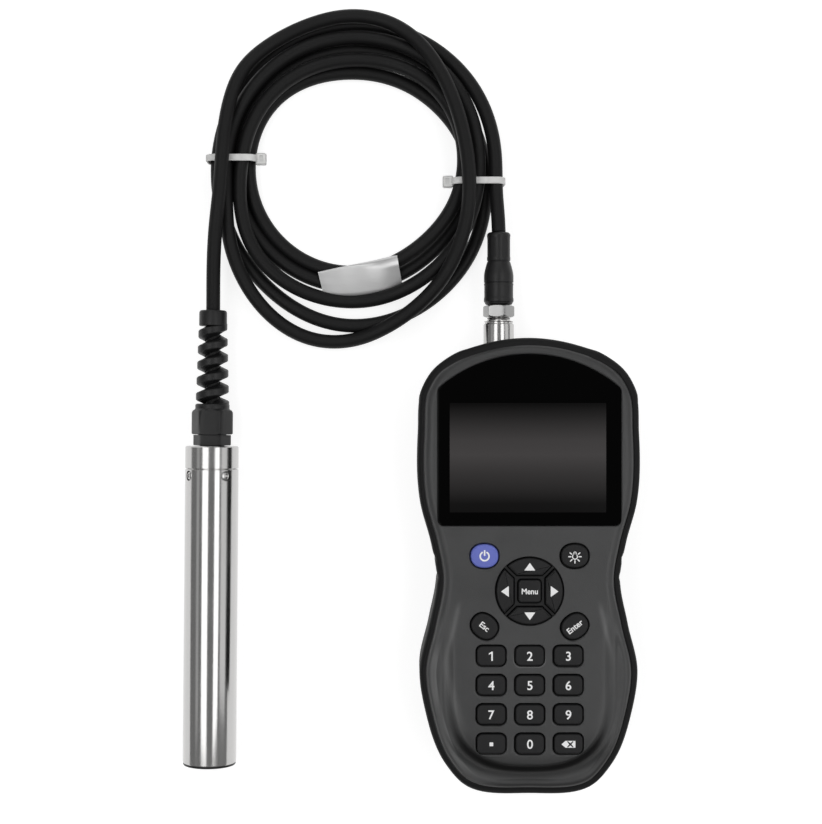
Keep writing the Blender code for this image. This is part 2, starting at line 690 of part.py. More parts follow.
def make_display(meter, glass, dark):
    """Window in the front shell's recess, with the display module behind it."""
    bottom = FRONT_HEIGHT - WINDOW_RECESS + GAP
    top = bottom + WINDOW_THICKNESS
    edge = WINDOW_THICKNESS / 4
    rings = [level(window_outline(0), bottom), level(window_outline(0), top - edge),
             level(window_outline(-edge), top)]
    loft("display_window", rings, glass, meter)
    panel = rectangle(LCD_VIEW_WIDTH + 2 * LCD_BORDER, LCD_VIEW_HEIGHT + 2 * LCD_BORDER, WINDOW_CORNER / 2)
    panel_top = FRONT_INNER - GAP
    loft("lcd_panel", prism(moved(panel, 0, LCD_CENTRE_Y), panel_top - LCD_THICKNESS, panel_top), dark, meter)


def make_boards(meter, board, rubber):
    """Circuit board notched round the screw bosses, and the keypad mat on it with a hole for each key."""
    outline = offset(meter_outline(), -(CASE_INNER + BOARD_EDGE_GAP))
    plate = loft("main_board", prism(outline, BOARD_TOP - BOARD_THICKNESS, BOARD_TOP), board, meter)
    notches = [
        prism(moved(circle(BOSS_RADIUS + SLIDE_GAP, SMALL_SIDES), x, y), PARTING, FRONT_HEIGHT)
        for x, y in CASE_SCREW_PLACES
    ]
    combine(plate, tool("board_notches", notches, meter), "DIFFERENCE")

    height = MAT_TOP_Y - MAT_BOTTOM_Y
    sheet = moved(rectangle(2 * MAT_HALF_WIDTH, height, DIGIT_CORNER), 0, (MAT_TOP_Y + MAT_BOTTOM_Y) / 2)
    mat = loft("keypad_mat", prism(sheet, MAT_TOP - MAT_THICKNESS, MAT_TOP), rubber, meter)
    stem = circle(KEY_STEM_RADIUS + 2 * SLIDE_GAP, STEM_HOLE_SIDES)
    holes = [prism(moved(stem, *place), PARTING, FRONT_HEIGHT) for _, _, place, _ in key_table()]
    combine(mat, tool("mat_holes", holes, meter), "DIFFERENCE")


def make_keys(meter, finishes):
    """Each key: a stem into the mat, a flange under the front shell and a cap with rounded edges."""
    for name, shape, (x, y), finish in key_table():
        top = surface_height(y) + KEY_PROUD
        stem = [p.normalized() * KEY_STEM_RADIUS for p in shape]
        flange = offset(shape, KEY_FLANGE)
        stem_bottom = BOARD_TOP + KEY_TRAVEL + GAP
        rings = [
            level(stem, stem_bottom), level(stem, FLANGE_BOTTOM), level(flange, FLANGE_BOTTOM),
            level(flange, FLANGE_TOP), level(shape, FLANGE_TOP), level(shape, top - KEY_EDGE),
            level(offset(shape, -KEY_EDGE), top),
        ]
        loft(name, rings, finishes[finish], meter, (x, y, 0))


def make_battery(meter, cell, plastic, steel):
    """Battery pack on its cover, and the screw that holds the cover to the rear shell."""
    pack = rectangle(BATTERY_WIDTH, BATTERY_LENGTH, COVER_CORNER / 2)
    low = COVER_THICKNESS + GAP
    loft("battery_pack", prism(pack, low, low + BATTERY_THICKNESS), cell, meter, (0, BATTERY_Y, 0))

    cover = loft("battery_cover", prism(cover_outline(), 0, COVER_THICKNESS), plastic, meter, (0, cover_centre_y(), 0))
    x, y = cover_screw_place()
    head_top = COVER_SCREW_HEAD + 2 * GAP
    head = circle(COVER_SCREW_HEAD_RADIUS + SLIDE_GAP, SMALL_SIDES)
    bore = circle(COVER_SCREW_RADIUS + SLIDE_GAP, SMALL_SIDES)
    hole = [level(moved(head, x, y), -REAR_FLOOR), level(moved(head, x, y), head_top),
            level(moved(bore, x, y), head_top), level(moved(bore, x, y), REAR_FLOOR)]
    combine(cover, tool("cover_screw_hole", [hole], meter), "DIFFERENCE")
    rings = screw_rings(COVER_SCREW_HEAD_RADIUS, COVER_SCREW_HEAD, COVER_SCREW_RADIUS, COVER_SCREW_LENGTH)
    loft("battery_cover_screw", rings, steel, meter, (x, y, GAP))


def screw_rings(head_radius, head, radius, length):
    """Rings of a screw whose head starts at height 0 and whose shank points up."""
    edge = head / 4
    return [
        level(circle(head_radius - edge, SMALL_SIDES), 0), level(circle(head_radius, SMALL_SIDES), edge),
        level(circle(head_radius, SMALL_SIDES), head), level(circle(radius, SMALL_SIDES), head),
        level(circle(radius, SMALL_SIDES), length),
    ]


def make_case_screws(meter, steel):
    """Four screws from the back, through the rear shell's bosses into the front shell's."""
    rings = screw_rings(CASE_SCREW_HEAD_RADIUS, CASE_SCREW_HEAD, CASE_SCREW_RADIUS, CASE_SCREW_LENGTH)
    for number, (x, y) in enumerate(CASE_SCREW_PLACES, 1):
        loft(f"case_screw_{number}", rings, steel, meter, (x, y, GAP))


def make_socket(connector, steel, black):
    """Panel socket: a shouldered sleeve through the case wall, with its contact carrier inside."""
    inner_end = SOCKET_SEAT_Y - SOCKET_THREAD_LENGTH
    bore_floor = SOCKET_NECK_END_Y - SOCKET_BORE_DEPTH
    chamfer = SOCKET_NECK_RADIUS - SOCKET_BORE_RADIUS
    profile = (
        (SOCKET_THREAD_RADIUS, inner_end), (SOCKET_THREAD_RADIUS, SOCKET_SEAT_Y),
        (SOCKET_RADIUS, SOCKET_SEAT_Y), (SOCKET_RADIUS, SOCKET_END_Y - chamfer / 2),
        (SOCKET_RADIUS - chamfer / 2, SOCKET_END_Y), (SOCKET_NECK_RADIUS, SOCKET_END_Y),
        (SOCKET_NECK_RADIUS, SOCKET_NECK_END_Y - chamfer / 2),
        (SOCKET_NECK_RADIUS - chamfer / 2, SOCKET_NECK_END_Y), (SOCKET_BORE_RADIUS, SOCKET_NECK_END_Y),
        (SOCKET_BORE_RADIUS, bore_floor),
    )
    loft("probe_socket", along_y(0, 0, profile), steel, connector)
    disc = SOCKET_BORE_RADIUS - SLIDE_GAP
    carrier = (
        (disc, bore_floor + GAP), (disc, bore_floor + GAP + CONTACT_DISC),
        (CONTACT_POST_RADIUS, bore_floor + GAP + CONTACT_DISC),
        (CONTACT_POST_RADIUS, bore_floor + GAP + CONTACT_DISC + CONTACT_POST_LENGTH),
    )
    loft("socket_insert", along_y(0, 0, carrier), black, connector)


def make_plug(connector, steel, black):
    """Plug: a moulded grip, a contact carrier that enters the socket and a hexagon coupling nut."""
    start, end = PLUG_START_Y, PLUG_START_Y + PLUG_LENGTH
    grip_end = start + PLUG_GRIP_LENGTH
    edge = PLUG_GRIP_RADIUS - PLUG_TAIL_RADIUS
    groove = PLUG_GROOVE
    first = start + PLUG_GRIP_LENGTH * 0.3
    tail_groove = grip_end + 3.6 * edge
    profile = (
        (PLUG_GRIP_RADIUS - groove, start), (PLUG_GRIP_RADIUS, start + groove), (PLUG_GRIP_RADIUS, first),
        (PLUG_GRIP_RADIUS - groove, first + groove), (PLUG_GRIP_RADIUS - groove, first + 2 * groove),
        (PLUG_GRIP_RADIUS, first + 3 * groove), (PLUG_GRIP_RADIUS, grip_end),
        (PLUG_GRIP_RADIUS - edge / 2, grip_end + 1.6 * edge), (PLUG_TAIL_RADIUS, grip_end + 3 * edge),
        (PLUG_TAIL_RADIUS, tail_groove), (PLUG_TAIL_RADIUS - groove, tail_groove + groove),
        (PLUG_TAIL_RADIUS, tail_groove + 2 * groove), (PLUG_TAIL_RADIUS, end - 2 * groove),
        (PLUG_TAIL_RADIUS - groove, end),
    )
    loft("plug_body", along_y(0, 0, profile), black, connector)

    nut_end = NUT_START_Y + NUT_LENGTH
    bore = SOCKET_NECK_RADIUS + SLIDE_GAP
    lip_bore = UNPLUG_STEM_RADIUS + SLIDE_GAP
    lip = nut_end - NUT_LIP
    bevel = NUT_CORNER_RADIUS * 0.05

    def nut_ring(shape, radius, y):
        return [Vector((p.x, y, p.y)) for p in shape(radius, CONNECTOR_SIDES)]

    rings = [
        nut_ring(circle, bore, NUT_START_Y), nut_ring(hexagon, NUT_CORNER_RADIUS - bevel, NUT_START_Y),
        nut_ring(hexagon, NUT_CORNER_RADIUS, NUT_START_Y + bevel),
        nut_ring(hexagon, NUT_CORNER_RADIUS, nut_end - bevel),
        nut_ring(hexagon, NUT_CORNER_RADIUS - bevel, nut_end), nut_ring(circle, lip_bore, nut_end),
        nut_ring(circle, lip_bore, lip), nut_ring(circle, bore, lip),
    ]
    loft("coupling_nut", rings, steel, connector, looped=True)

    carrier_start = SOCKET_NECK_END_Y - SOCKET_BORE_DEPTH + CONTACT_DISC + 2 * GAP
    flange_start = SOCKET_NECK_END_Y + GAP
    flange_end = lip - GAP
    hollow = CONTACT_POST_RADIUS + SLIDE_GAP
    hollow_end = carrier_start + CONTACT_POST_LENGTH + GAP
    body = SOCKET_BORE_RADIUS - SLIDE_GAP
    profile = (
        (hollow, hollow_end), (hollow, carrier_start), (body, carrier_start), (body, flange_start),
        (SOCKET_NECK_RADIUS - GAP, flange_start), (SOCKET_NECK_RADIUS - GAP, flange_end),
        (UNPLUG_STEM_RADIUS, flange_end), (UNPLUG_STEM_RADIUS, PLUG_START_Y - GAP),
    )
    loft("plug_insert", along_y(0, 0, profile), black, connector)


def make_probe(probe, steel, black, board, rubber):
    """Probe: barrel, head with its spigot in the barrel, radial screws, seal, window and electronics."""
    inner = PROBE_RADIUS - PROBE_WALL
    seam = PROBE_LENGTH - HEAD_LENGTH
    tube_top = seam - GAP
    tube = loft("probe_tube", [
        level(circle(inner), 0), level(circle(PROBE_RADIUS - PROBE_CHAMFER), 0),
        level(circle(PROBE_RADIUS), PROBE_CHAMFER), level(circle(PROBE_RADIUS), tube_top),
        level(circle(inner), tube_top),
    ], steel, probe, looped=True)

    spigot = inner - GAP
    spigot_end = seam - HEAD_SPIGOT
    ring_low = seam - O_RING_PLACE
    ring_high = ring_low + O_RING_WIDTH + 2 * GAP
    floor = spigot - O_RING_DEPTH
    profile = (
        (HEAD_BORE_RADIUS, spigot_end), (spigot, spigot_end), (spigot, ring_low), (floor, ring_low),
        (floor, ring_high), (spigot, ring_high), (spigot, seam), (PROBE_RADIUS, seam),
        (PROBE_RADIUS, PROBE_LENGTH - PROBE_CHAMFER), (PROBE_RADIUS - PROBE_CHAMFER, PROBE_LENGTH),
        (HEAD_BORE_RADIUS, PROBE_LENGTH),
    )
    head = loft("probe_head", [level(circle(r), z) for r, z in profile], steel, probe, looped=True)
    o_ring = ((floor + GAP, ring_low + GAP), (spigot, ring_low + GAP),
              (spigot, ring_high - GAP), (floor + GAP, ring_high - GAP))
    loft("head_o_ring", [level(circle(r), z) for r, z in o_ring], rubber, probe, looped=True)

    place = PROBE_LENGTH - PROBE_SCREW_DROP
    outer = PROBE_RADIUS - GAP
    tip = outer - PROBE_SCREW_LENGTH - GAP
    clear_holes, tapped_holes = [], []
    for number, degrees in enumerate(PROBE_SCREW_ANGLES, 1):
        angle = math.radians(degrees)
        outward = Vector((math.sin(angle), -math.cos(angle), 0))
        across = Vector((math.cos(angle), math.sin(angle), 0))

        def radial(radius, distance):
            centre = outward * distance + Vector((0, 0, place))
            return [centre + across * p.x + Vector((0, 0, p.y)) for p in circle(radius, SMALL_SIDES)]

        wide = PROBE_SCREW_HEAD_RADIUS + GAP
        narrow = PROBE_SCREW_RADIUS + GAP
        clear_holes.append([radial(wide, inner - PROBE_WALL), radial(wide, PROBE_RADIUS + PROBE_WALL)])
        tapped_holes.append([radial(narrow, tip), radial(narrow, PROBE_RADIUS)])
        head_bottom = outer - PROBE_SCREW_HEAD
        loft(f"probe_screw_{number}", [
            radial(PROBE_SCREW_RADIUS, outer - PROBE_SCREW_LENGTH), radial(PROBE_SCREW_RADIUS, head_bottom),
            radial(PROBE_SCREW_HEAD_RADIUS, head_bottom), radial(PROBE_SCREW_HEAD_RADIUS, outer),
        ], steel, probe)
    combine(tube, tool("probe_tube_holes", clear_holes, probe), "DIFFERENCE")
    combine(head, tool("probe_head_holes", tapped_holes, probe), "DIFFERENCE")

    window_top = SENSOR_WINDOW_RECESS + SENSOR_WINDOW_THICKNESS
    loft("sensor_window", prism(circle(inner - GAP), SENSOR_WINDOW_RECESS, window_top), black, probe)
    half = BOARD_THICKNESS / 2
    wide = SENSOR_BOARD_WIDTH / 2
    section = [Vector((-wide, -half)), Vector((wide, -half)), Vector((wide, half)), Vector((-wide, half))]
    start = window_top + GAP
    loft("sensor_board", prism(section, start, start + SENSOR_BOARD_LENGTH), board, probe)


def make_gland(probe, black, rubber):
    """Cable gland: a body screwed into the head, a seal, and a nut with a spiral bend relief."""
    base = PROBE_LENGTH + GAP
    hex_top = base + GLAND_HEX_LENGTH
    collet_top = hex_top + GLAND_COLLET_LENGTH
    bevel = GLAND_HEX_RADIUS * 0.04
    loft("gland_body", [
        level(circle(CABLE_BORE_RADIUS), base - GLAND_THREAD_LENGTH),
        level(circle(GLAND_THREAD_RADIUS), base - GLAND_THREAD_LENGTH), level(circle(GLAND_THREAD_RADIUS), base),
        level(hexagon(GLAND_HEX_RADIUS - bevel), base), level(hexagon(GLAND_HEX_RADIUS), base + bevel),
        level(hexagon(GLAND_HEX_RADIUS), hex_top), level(circle(GLAND_COLLET_RADIUS), hex_top),
        level(circle(GLAND_COLLET_RADIUS), collet_top), level(circle(CABLE_BORE_RADIUS), collet_top),
    ], black, probe, looped=True)

    seal_low = collet_top + GAP
    seal_high = seal_low + GLAND_SEAL_LENGTH
    seal = ((CABLE_BORE_RADIUS, seal_low), (GLAND_COLLET_RADIUS, seal_low),
            (GLAND_COLLET_RADIUS, seal_high), (CABLE_BORE_RADIUS, seal_high))
    loft("gland_seal", [level(circle(r), z) for r, z in seal], rubber, probe, looped=True)

    nut_low = hex_top + GAP
    nut_top = nut_low + GLAND_NUT_LENGTH
    shoulder = seal_high + GAP
    collar_top = nut_top + GLAND_COLLAR_LENGTH
    socket = GLAND_COLLET_RADIUS + SLIDE_GAP
    nut = loft("gland_nut", [
        level(circle(socket), nut_low), level(hexagon(GLAND_NUT_RADIUS - bevel), nut_low),
        level(hexagon(GLAND_NUT_RADIUS), nut_low + bevel), level(hexagon(GLAND_NUT_RADIUS), nut_top - bevel),
        level(hexagon(GLAND_NUT_RADIUS - bevel), nut_top), level(circle(GLAND_COLLAR_RADIUS), nut_top),
        level(circle(GLAND_COLLAR_RADIUS), collar_top - bevel), level(circle(GLAND_COLLAR_RADIUS - bevel), collar_top),
        level(circle(CABLE_BORE_RADIUS), collar_top), level(circle(CABLE_BORE_RADIUS), shoulder),
        level(circle(socket), shoulder),
    ], black, probe, looped=True)

    cap_low = collar_top + RELIEF_LENGTH
    cap_top = cap_low + RELIEF_CAP_LENGTH
    cap = tool("relief_cap", [], probe)
    bm = bmesh.new()
    add_solid(bm, [
        level(circle(CABLE_BORE_RADIUS), cap_low), level(circle(RELIEF_CAP_RADIUS - bevel), cap_low),
        level(circle(RELIEF_CAP_RADIUS), cap_low + bevel), level(circle(RELIEF_CAP_RADIUS), cap_top - 2 * bevel),
        level(circle(RELIEF_CAP_RADIUS - 2 * bevel), cap_top), level(circle(CABLE_BORE_RADIUS), cap_top),
    ], looped=True)
    bmesh.ops.recalc_face_normals(bm, faces=bm.faces)
    bm.to_mesh(cap.data)
    bm.free()
    combine(nut, cap, "UNION")

    half_strip = RELIEF_STRIP / 2
    start = collar_top - half_strip + GAP
    finish = cap_low + half_strip + GAP
    per_turn = 14
    steps = round(RELIEF_TURNS * per_turn)
    rings = []
    for step in range(steps + 1):
        share = step / steps
        angle = 2 * math.pi * RELIEF_TURNS * share
        outward = Vector((math.cos(angle), math.sin(angle), 0))
        radius = RELIEF_START_RADIUS + (RELIEF_END_RADIUS - RELIEF_START_RADIUS) * share
        z = start + (finish - start) * share
        rings.append([
            outward * RELIEF_BORE_RADIUS + Vector((0, 0, z - half_strip)),
            outward * radius + Vector((0, 0, z - half_strip)),
            outward * radius + Vector((0, 0, z + half_strip)),
            outward * RELIEF_BORE_RADIUS + Vector((0, 0, z + half_strip)),
        ])
    combine(nut, tool("relief_strip", [rings], probe), "UNION")


def ease(low, high, value):
    """Smooth step from 0 at low to 1 at high."""
    t = min(max((value - low) / (high - low), 0.0), 1.0)
    return t * t * (3 - 2 * t)


def coil_out(turn):
    """How far outside the middle line the cable lies, on a smooth line through the lanes."""
    last = len(COIL_LANES) - 1
    place = min(max(8 * turn, 0.0), last)
    at = min(int(place), last - 1)
    t = place - at
    before, start, end, after = [COIL_LANES[min(max(at + i, 0), last)] for i in (-1, 0, 1, 2)]
    step = end - start
    slope_in = (end - before) / 2
    slope_out = (after - start) / 2
    curve = 3 * step - 2 * slope_in - slope_out
    return start + t * (slope_in + t * (curve + t * (slope_in + slope_out - 2 * step)))


def coil_layer(turn, from_tie):
    """How high the first turns lie on the later ones: one cable up at the ties, beside them below."""
    if turn >= COIL_UPPER_TURNS:
        return 0.0
    settled = COIL_LAYER_TOP if math.sin(2 * math.pi * turn) > 0 else 0.0
    return COIL_LAYER + (settled - COIL_LAYER) * ease(COIL_SETTLE, 1, from_tie)


def coil_point(turn):
    """Point of the tied coil. Turn 0 is at the left tie, and the turns run clockwise from above."""
    angle = 2 * math.pi * turn
    sine, cosine = math.sin(angle), math.cos(angle)
    out = coil_out(turn)
    x = COIL_X - (COIL_HALF_WIDTH + out) * cosine
    y = COIL_Y + (COIL_HALF_HEIGHT + out) * sine

    low = CABLE_RADIUS + FLOOR_GAP + COIL_TIE_LIFT * cosine ** 8 + COIL_LABEL_LIFT * max(0.0, -sine) ** 4
    from_tie = 4 * abs((turn + 0.25) % 0.5 - 0.25)
    rise = COIL_EXIT_RISE * ease(COIL_TURNS - 0.25, COIL_TURNS, turn)
    return Vector((x, y, low + coil_layer(turn, from_tie) + rise))


def coil_direction(turn):
    """Direction of travel along the coil."""
    small = 0.002
    return (coil_point(turn + small) - coil_point(turn - small)).normalized()


def strand_point(turn):
    """Point on the middle of the built tube, which runs straight between the coil's points."""
    place = turn * LOOP_POINTS
    before = min(int(place), round(COIL_TURNS * LOOP_POINTS) - 1)
    start = coil_point(before / LOOP_POINTS)
    return start.lerp(coil_point((before + 1) / LOOP_POINTS), place - before)


def coil_crossing(turn, place, along):
    """Point where the strand near a turn crosses the plane through a place."""
    nearby = [strand_point(turn + step / 2000) for step in range(-60, 61)]
    return min(nearby, key=lambda p: abs((p - place).dot(along)))


def coil_points():
    """Points of the coil, with a straight end one cable diameter long at either end."""
    count = round(COIL_TURNS * LOOP_POINTS)
    points = [coil_point(COIL_TURNS * i / count) for i in range(count + 1)]
    start = points[0] - coil_direction(0) * CABLE_STEP
    end = points[-1] + coil_direction(COIL_TURNS) * CABLE_STEP
    return [start] + points + [end]


def least_gap(points):
    """Least gap between stretches of one tube that lie more than a few diameters apart along it."""
    places = [0.0]
    for before, after in zip(points, points[1:]):
        places.append(places[-1] + (after - before).length)
    least = math.inf
    fine = 6
    samples = []
    for i in range(len(points) - 1):
        for step in range(fine):
            share = step / fine
            samples.append((points[i].lerp(points[i + 1], share), places[i] + share * (places[i + 1] - places[i])))
    for i, (point, place) in enumerate(samples):
        for other, other_place in samples[i + 1:]:
            if other_place - place > 6 * CABLE_STEP:
                least = min(least, (other - point).length)
    return least - CABLE_STEP


def evenly(points, spacing):
    """Points at an even spacing along a finely sampled curve."""
    fine = smooth_curve(points, 12)
    total = sum((b - a).length for a, b in zip(fine, fine[1:]))
    count = max(2, round(total / spacing))
    picked = [fine[0]]
    run = 0.0
    for before, after in zip(fine, fine[1:]):
        run += (after - before).length
        if run >= total * len(picked) / count and len(picked) < count:
            picked.append(after)
    return picked + [fine[-1]]


def cable(name, points, sides_level, finish):
    """One stretch of cable as a bevelled curve with filled ends."""
    curve = bpy.data.curves.new(name, "CURVE")
    curve.dimensions = "3D"
    curve.bevel_depth = CABLE_RADIUS
    curve.bevel_resolution = sides_level
    curve.use_fill_caps = True
    curve.render_resolution_u = 0
    spline = curve.splines.new("POLY")
    spline.points.add(len(points) - 1)
    for target, point in zip(spline.points, points):
        target.co = (*point, 1.0)
    curve.materials.append(finish)
    made = bpy.data.objects.new(name, curve)
    bpy.context.scene.collection.objects.link(made)


def probe_axis_point(place):
    """World point on the probe's axis, at a distance from its measuring end."""
    return Vector((
        PROBE_X - math.sin(PROBE_TURN) * place, PROBE_END_Y + math.cos(PROBE_TURN) * place, PROBE_RADIUS
    ))


def make_cable(finish):
    """The whole cable: from the gland once round on top, the tied coil, and up into the plug."""
    coil = coil_points()
    cable("cable_coil", coil, 1, finish)
    print(f"cable_coil least gap to itself {least_gap(coil) * 1000:.2f} mm")

    gland_end = (PROBE_LENGTH + GLAND_HEX_LENGTH + GLAND_NUT_LENGTH + GLAND_COLLAR_LENGTH
                 + RELIEF_LENGTH + RELIEF_CAP_LENGTH)
    arrive = coil_direction(0)
    meet = coil[0] - arrive * GAP
    inside = [probe_axis_point(PROBE_LENGTH + CABLE_START), probe_axis_point((PROBE_LENGTH + gland_end) / 2),
              probe_axis_point(gland_end), probe_axis_point(gland_end + CABLE_STEP)]
    route = inside + [Vector(p) for p in PROBE_LEAD_ROUTE] + [meet - arrive * CABLE_STEP, meet]
    lead = evenly(route, LEAD_POINT_SPACING)
    cable("cable_lead_probe", lead[:-1] + [meet - arrive * CABLE_STEP, meet], 2, finish)

    leave = coil_direction(COIL_TURNS)
    start = coil[-1] + leave * GAP
    plug_end = Vector((METER_X + SOCKET_X, METER_Y + PLUG_START_Y + PLUG_LENGTH + GAP, SOCKET_Z))
    back = Vector((0, 1, 0))
    lead = evenly([start, start + leave * CABLE_STEP / 2, plug_end + back * CABLE_STEP, plug_end], CABLE_STEP)
    cable("cable_lead_meter", lead, 2, finish)


def make_tie(name, y, turns, inward, finish):
    """Cable tie: a strap round the strands at one side of the coil, with its head on the inner side."""
    nearby = [strand_point(turn + step / 400) for turn in turns for step in range(-20, 21)]
    strands = [p for p in nearby if abs(p.y - y) < TIE_HEAD_WIDTH / 2]
    room = CABLE_RADIUS + SLIDE_GAP
    left = min(p.x for p in strands) - room
    right = max(p.x for p in strands) + room
    bottom = min(p.z for p in strands) - room
    top = max(p.z for p in strands) + room
    inside = moved(rectangle(right - left, top - bottom, TIE_CORNER, 3), (left + right) / 2, (bottom + top) / 2)
    outside = offset(inside, TIE_THICKNESS)

    def across(outline, place):
        return [Vector((p.x, place, p.y)) for p in outline]

    near, far = y - TIE_WIDTH / 2, y + TIE_WIDTH / 2
    strap = loft(name, [across(inside, near), across(outside, near), across(outside, far), across(inside, far)],
                 finish, looped=True)
    wall = (right if inward > 0 else left) + inward * TIE_THICKNESS / 4
    block = rectangle(TIE_HEAD_DEPTH, TIE_HEAD_HEIGHT, TIE_THICKNESS, 1)
    block = moved(block, wall + inward * TIE_HEAD_DEPTH / 2, TIE_HEAD_Z)
    head = [across(block, y - TIE_HEAD_WIDTH / 2), across(block, y + TIE_HEAD_WIDTH / 2)]
    combine(strap, tool(name + "_head", [head], None), "UNION")


def make_label(finish):
    """Foil sleeve round the two inner strands at the bottom of the coil."""
    rings_out, rings_in = [], []
    for station in LABEL_LOOP_POINTS:
        share = station / LOOP_POINTS
        along = (coil_direction(1 + share) + coil_direction(2 + share)).normalized()
        middle = (strand_point(1 + share) + strand_point(2 + share)) / 2
        first = coil_crossing(1 + share, middle, along)
        second = coil_crossing(2 + share, middle, along)
        middle = (first + second) / 2
        side = first - second
        half = side.length / 2
        side.normalize()
        up = along.cross(side)
        inner = CABLE_RADIUS + LABEL_GAP
        for rings, radius in ((rings_in, inner), (rings_out, inner + LABEL_WALL)):
            ring = []
            for i in range(SMALL_SIDES + 2):
                angle = math.pi * (i % (SMALL_SIDES // 2 + 1)) / (SMALL_SIDES // 2)
                end = 1 if i <= SMALL_SIDES // 2 else -1
                shift = side * (half + radius * math.sin(angle)) * end
                ring.append(middle + shift - up * radius * math.cos(angle) * end)
            rings.append(ring)
    loft("cable_label", rings_out + list(reversed(rings_in)), finish, looped=True)


def main():
    for old in list(bpy.data.objects):
        bpy.data.objects.remove(old, do_unlink=True)

    case_grey = material("dark_grey_plastic", (0.055, 0.056, 0.058), 0.55)
    rubber = material("black_rubber", (0.017, 0.017, 0.018), 0.75)
    key_black = material("key_rubber", (0.020, 0.020, 0.021), 0.6)
    power_blue = material("blue_key_rubber", (0.120, 0.150, 0.510), 0.5)
    glass = material("black_glass", (0.002, 0.002, 0.002), 0.08)
    display = material("display_dark", (0.010, 0.011, 0.012), 0.3)
    steel = material("stainless_steel", (0.62, 0.61, 0.60), 0.25, 1.0)
    black = material("black_nylon", (0.018, 0.018, 0.019), 0.5)
    jacket = material("cable_jacket", (0.014, 0.014, 0.015), 0.45)
    clear_nylon = material("natural_nylon", (0.55, 0.55, 0.54), 0.4)
    foil = material("silver_foil", (0.55, 0.55, 0.55), 0.35, 0.8)
    green = material("circuit_board", (0.020, 0.110, 0.050), 0.5)
    cell = material("battery_wrap", (0.060, 0.100, 0.200), 0.4)

    meter = empty("meter_place", (METER_X, METER_Y, 0))
    make_rear_case(meter, case_grey)
    make_front_case(meter, case_grey)
    make_bumper(meter, rubber)
    make_case_seal(meter, rubber)
    make_display(meter, glass, display)
    make_boards(meter, green, rubber)
    make_keys(meter, {"key": key_black, "power": power_blue})
    make_battery(meter, cell, case_grey, steel)
    make_case_screws(meter, steel)

    connector = empty("connector_axis", (METER_X + SOCKET_X, METER_Y, SOCKET_Z))
    make_socket(connector, steel, black)
    make_plug(connector, steel, black)

    probe = empty("probe_axis", (PROBE_X, PROBE_END_Y, PROBE_RADIUS), (-math.pi / 2, 0, PROBE_TURN))
    make_probe(probe, steel, black, green, rubber)
    make_gland(probe, black, rubber)

    make_cable(jacket)
    left_turns = (0, 1, 2, 3, 4)
    right_turns = (0.5, 1.5, 2.5, 3.5, 4.5)
    make_tie("left_cable_tie", LEFT_TIE_Y, left_turns, 1, clear_nylon)
    make_tie("right_cable_tie", RIGHT_TIE_Y, right_turns, -1, clear_nylon)
    make_label(foil)


main()
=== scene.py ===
"""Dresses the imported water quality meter, its coiled cable and its steel probe.

Everything is in metres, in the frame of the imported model: the meter lies on its back on the surface at
height 0, the probe lies beside it, and the tied cable lies above both along +Y.
"""
import math

import bmesh
import bpy
from bpy.props import FloatProperty, FloatVectorProperty, IntProperty, PointerProperty
from mathutils import Euler, Matrix, Vector


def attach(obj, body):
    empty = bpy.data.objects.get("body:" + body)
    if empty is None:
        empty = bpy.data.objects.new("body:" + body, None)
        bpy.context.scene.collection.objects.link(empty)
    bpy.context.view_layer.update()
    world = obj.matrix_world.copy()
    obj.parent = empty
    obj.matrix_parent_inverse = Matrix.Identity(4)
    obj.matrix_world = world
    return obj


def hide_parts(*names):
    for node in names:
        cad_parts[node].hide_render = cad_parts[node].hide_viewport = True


bl_info = {
    "name": "Water quality meter and probe",
    "version": (1, 0, 0),
    "blender": (4, 5, 0),
    "location": "View3D > Sidebar > Water Probe",
    "description": "Detailed pieces and finishes for a handheld meter with a cabled steel probe",
    "category": "Object",
}

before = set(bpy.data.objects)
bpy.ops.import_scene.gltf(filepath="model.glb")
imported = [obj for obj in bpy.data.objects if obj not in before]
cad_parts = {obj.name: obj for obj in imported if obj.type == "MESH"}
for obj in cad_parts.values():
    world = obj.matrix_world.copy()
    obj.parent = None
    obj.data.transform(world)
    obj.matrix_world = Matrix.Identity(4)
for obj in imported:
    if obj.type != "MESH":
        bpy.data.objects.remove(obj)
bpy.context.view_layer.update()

# Clearances
GAP = 0.0003
KEY_GAP = 0.00035

# Places of the meter, its connector and the probe
METER_PLACE = Vector((0.0550, -0.00825, 0.0))
CONNECTOR_PLACE = Vector((0.0424, -0.00825, 0.0155))
PROBE_RADIUS = 0.0125
PROBE_PLACE = Vector((-0.0934, -0.1024, PROBE_RADIUS))
PROBE_TURN = math.radians(-0.48)

# Meter outline, right half, from top centre to bottom centre: half width, place along the length
METER_OUTLINE = (
    (0.0, 0.1051), (0.0212, 0.1021), (0.0350, 0.0968), (0.0440, 0.0896), (0.0485, 0.0818),
    (0.0505, 0.0620), (0.0495, 0.0299), (0.0445, 0.0111), (0.0419, -0.0045), (0.0453, -0.0250),
    (0.0498, -0.0465), (0.0472, -0.0653), (0.0386, -0.0885), (0.0302, -0.0983), (0.0, -0.1028),
)

# Insets and heights in the meter
CASE_INSET = 0.0033
CASE_INNER = 0.0058
PARTING = 0.0250
FRONT_HEIGHT = 0.0400
FRONT_INNER = 0.0364
FRONT_SHOULDER = 0.0364
FRONT_SIDE_TOP = 0.0330
FRONT_ROUND = 0.0042
BUMPER_DEPTH = 0.0032
GRIP_DENTS = (-0.0040, 0.0045)
GRIP_DENT_WIDTH = 0.0016
GRIP_DENT_DEPTH = 0.0005
FLANGE_TOP = 0.0361
FLANGE_BOTTOM = 0.0344

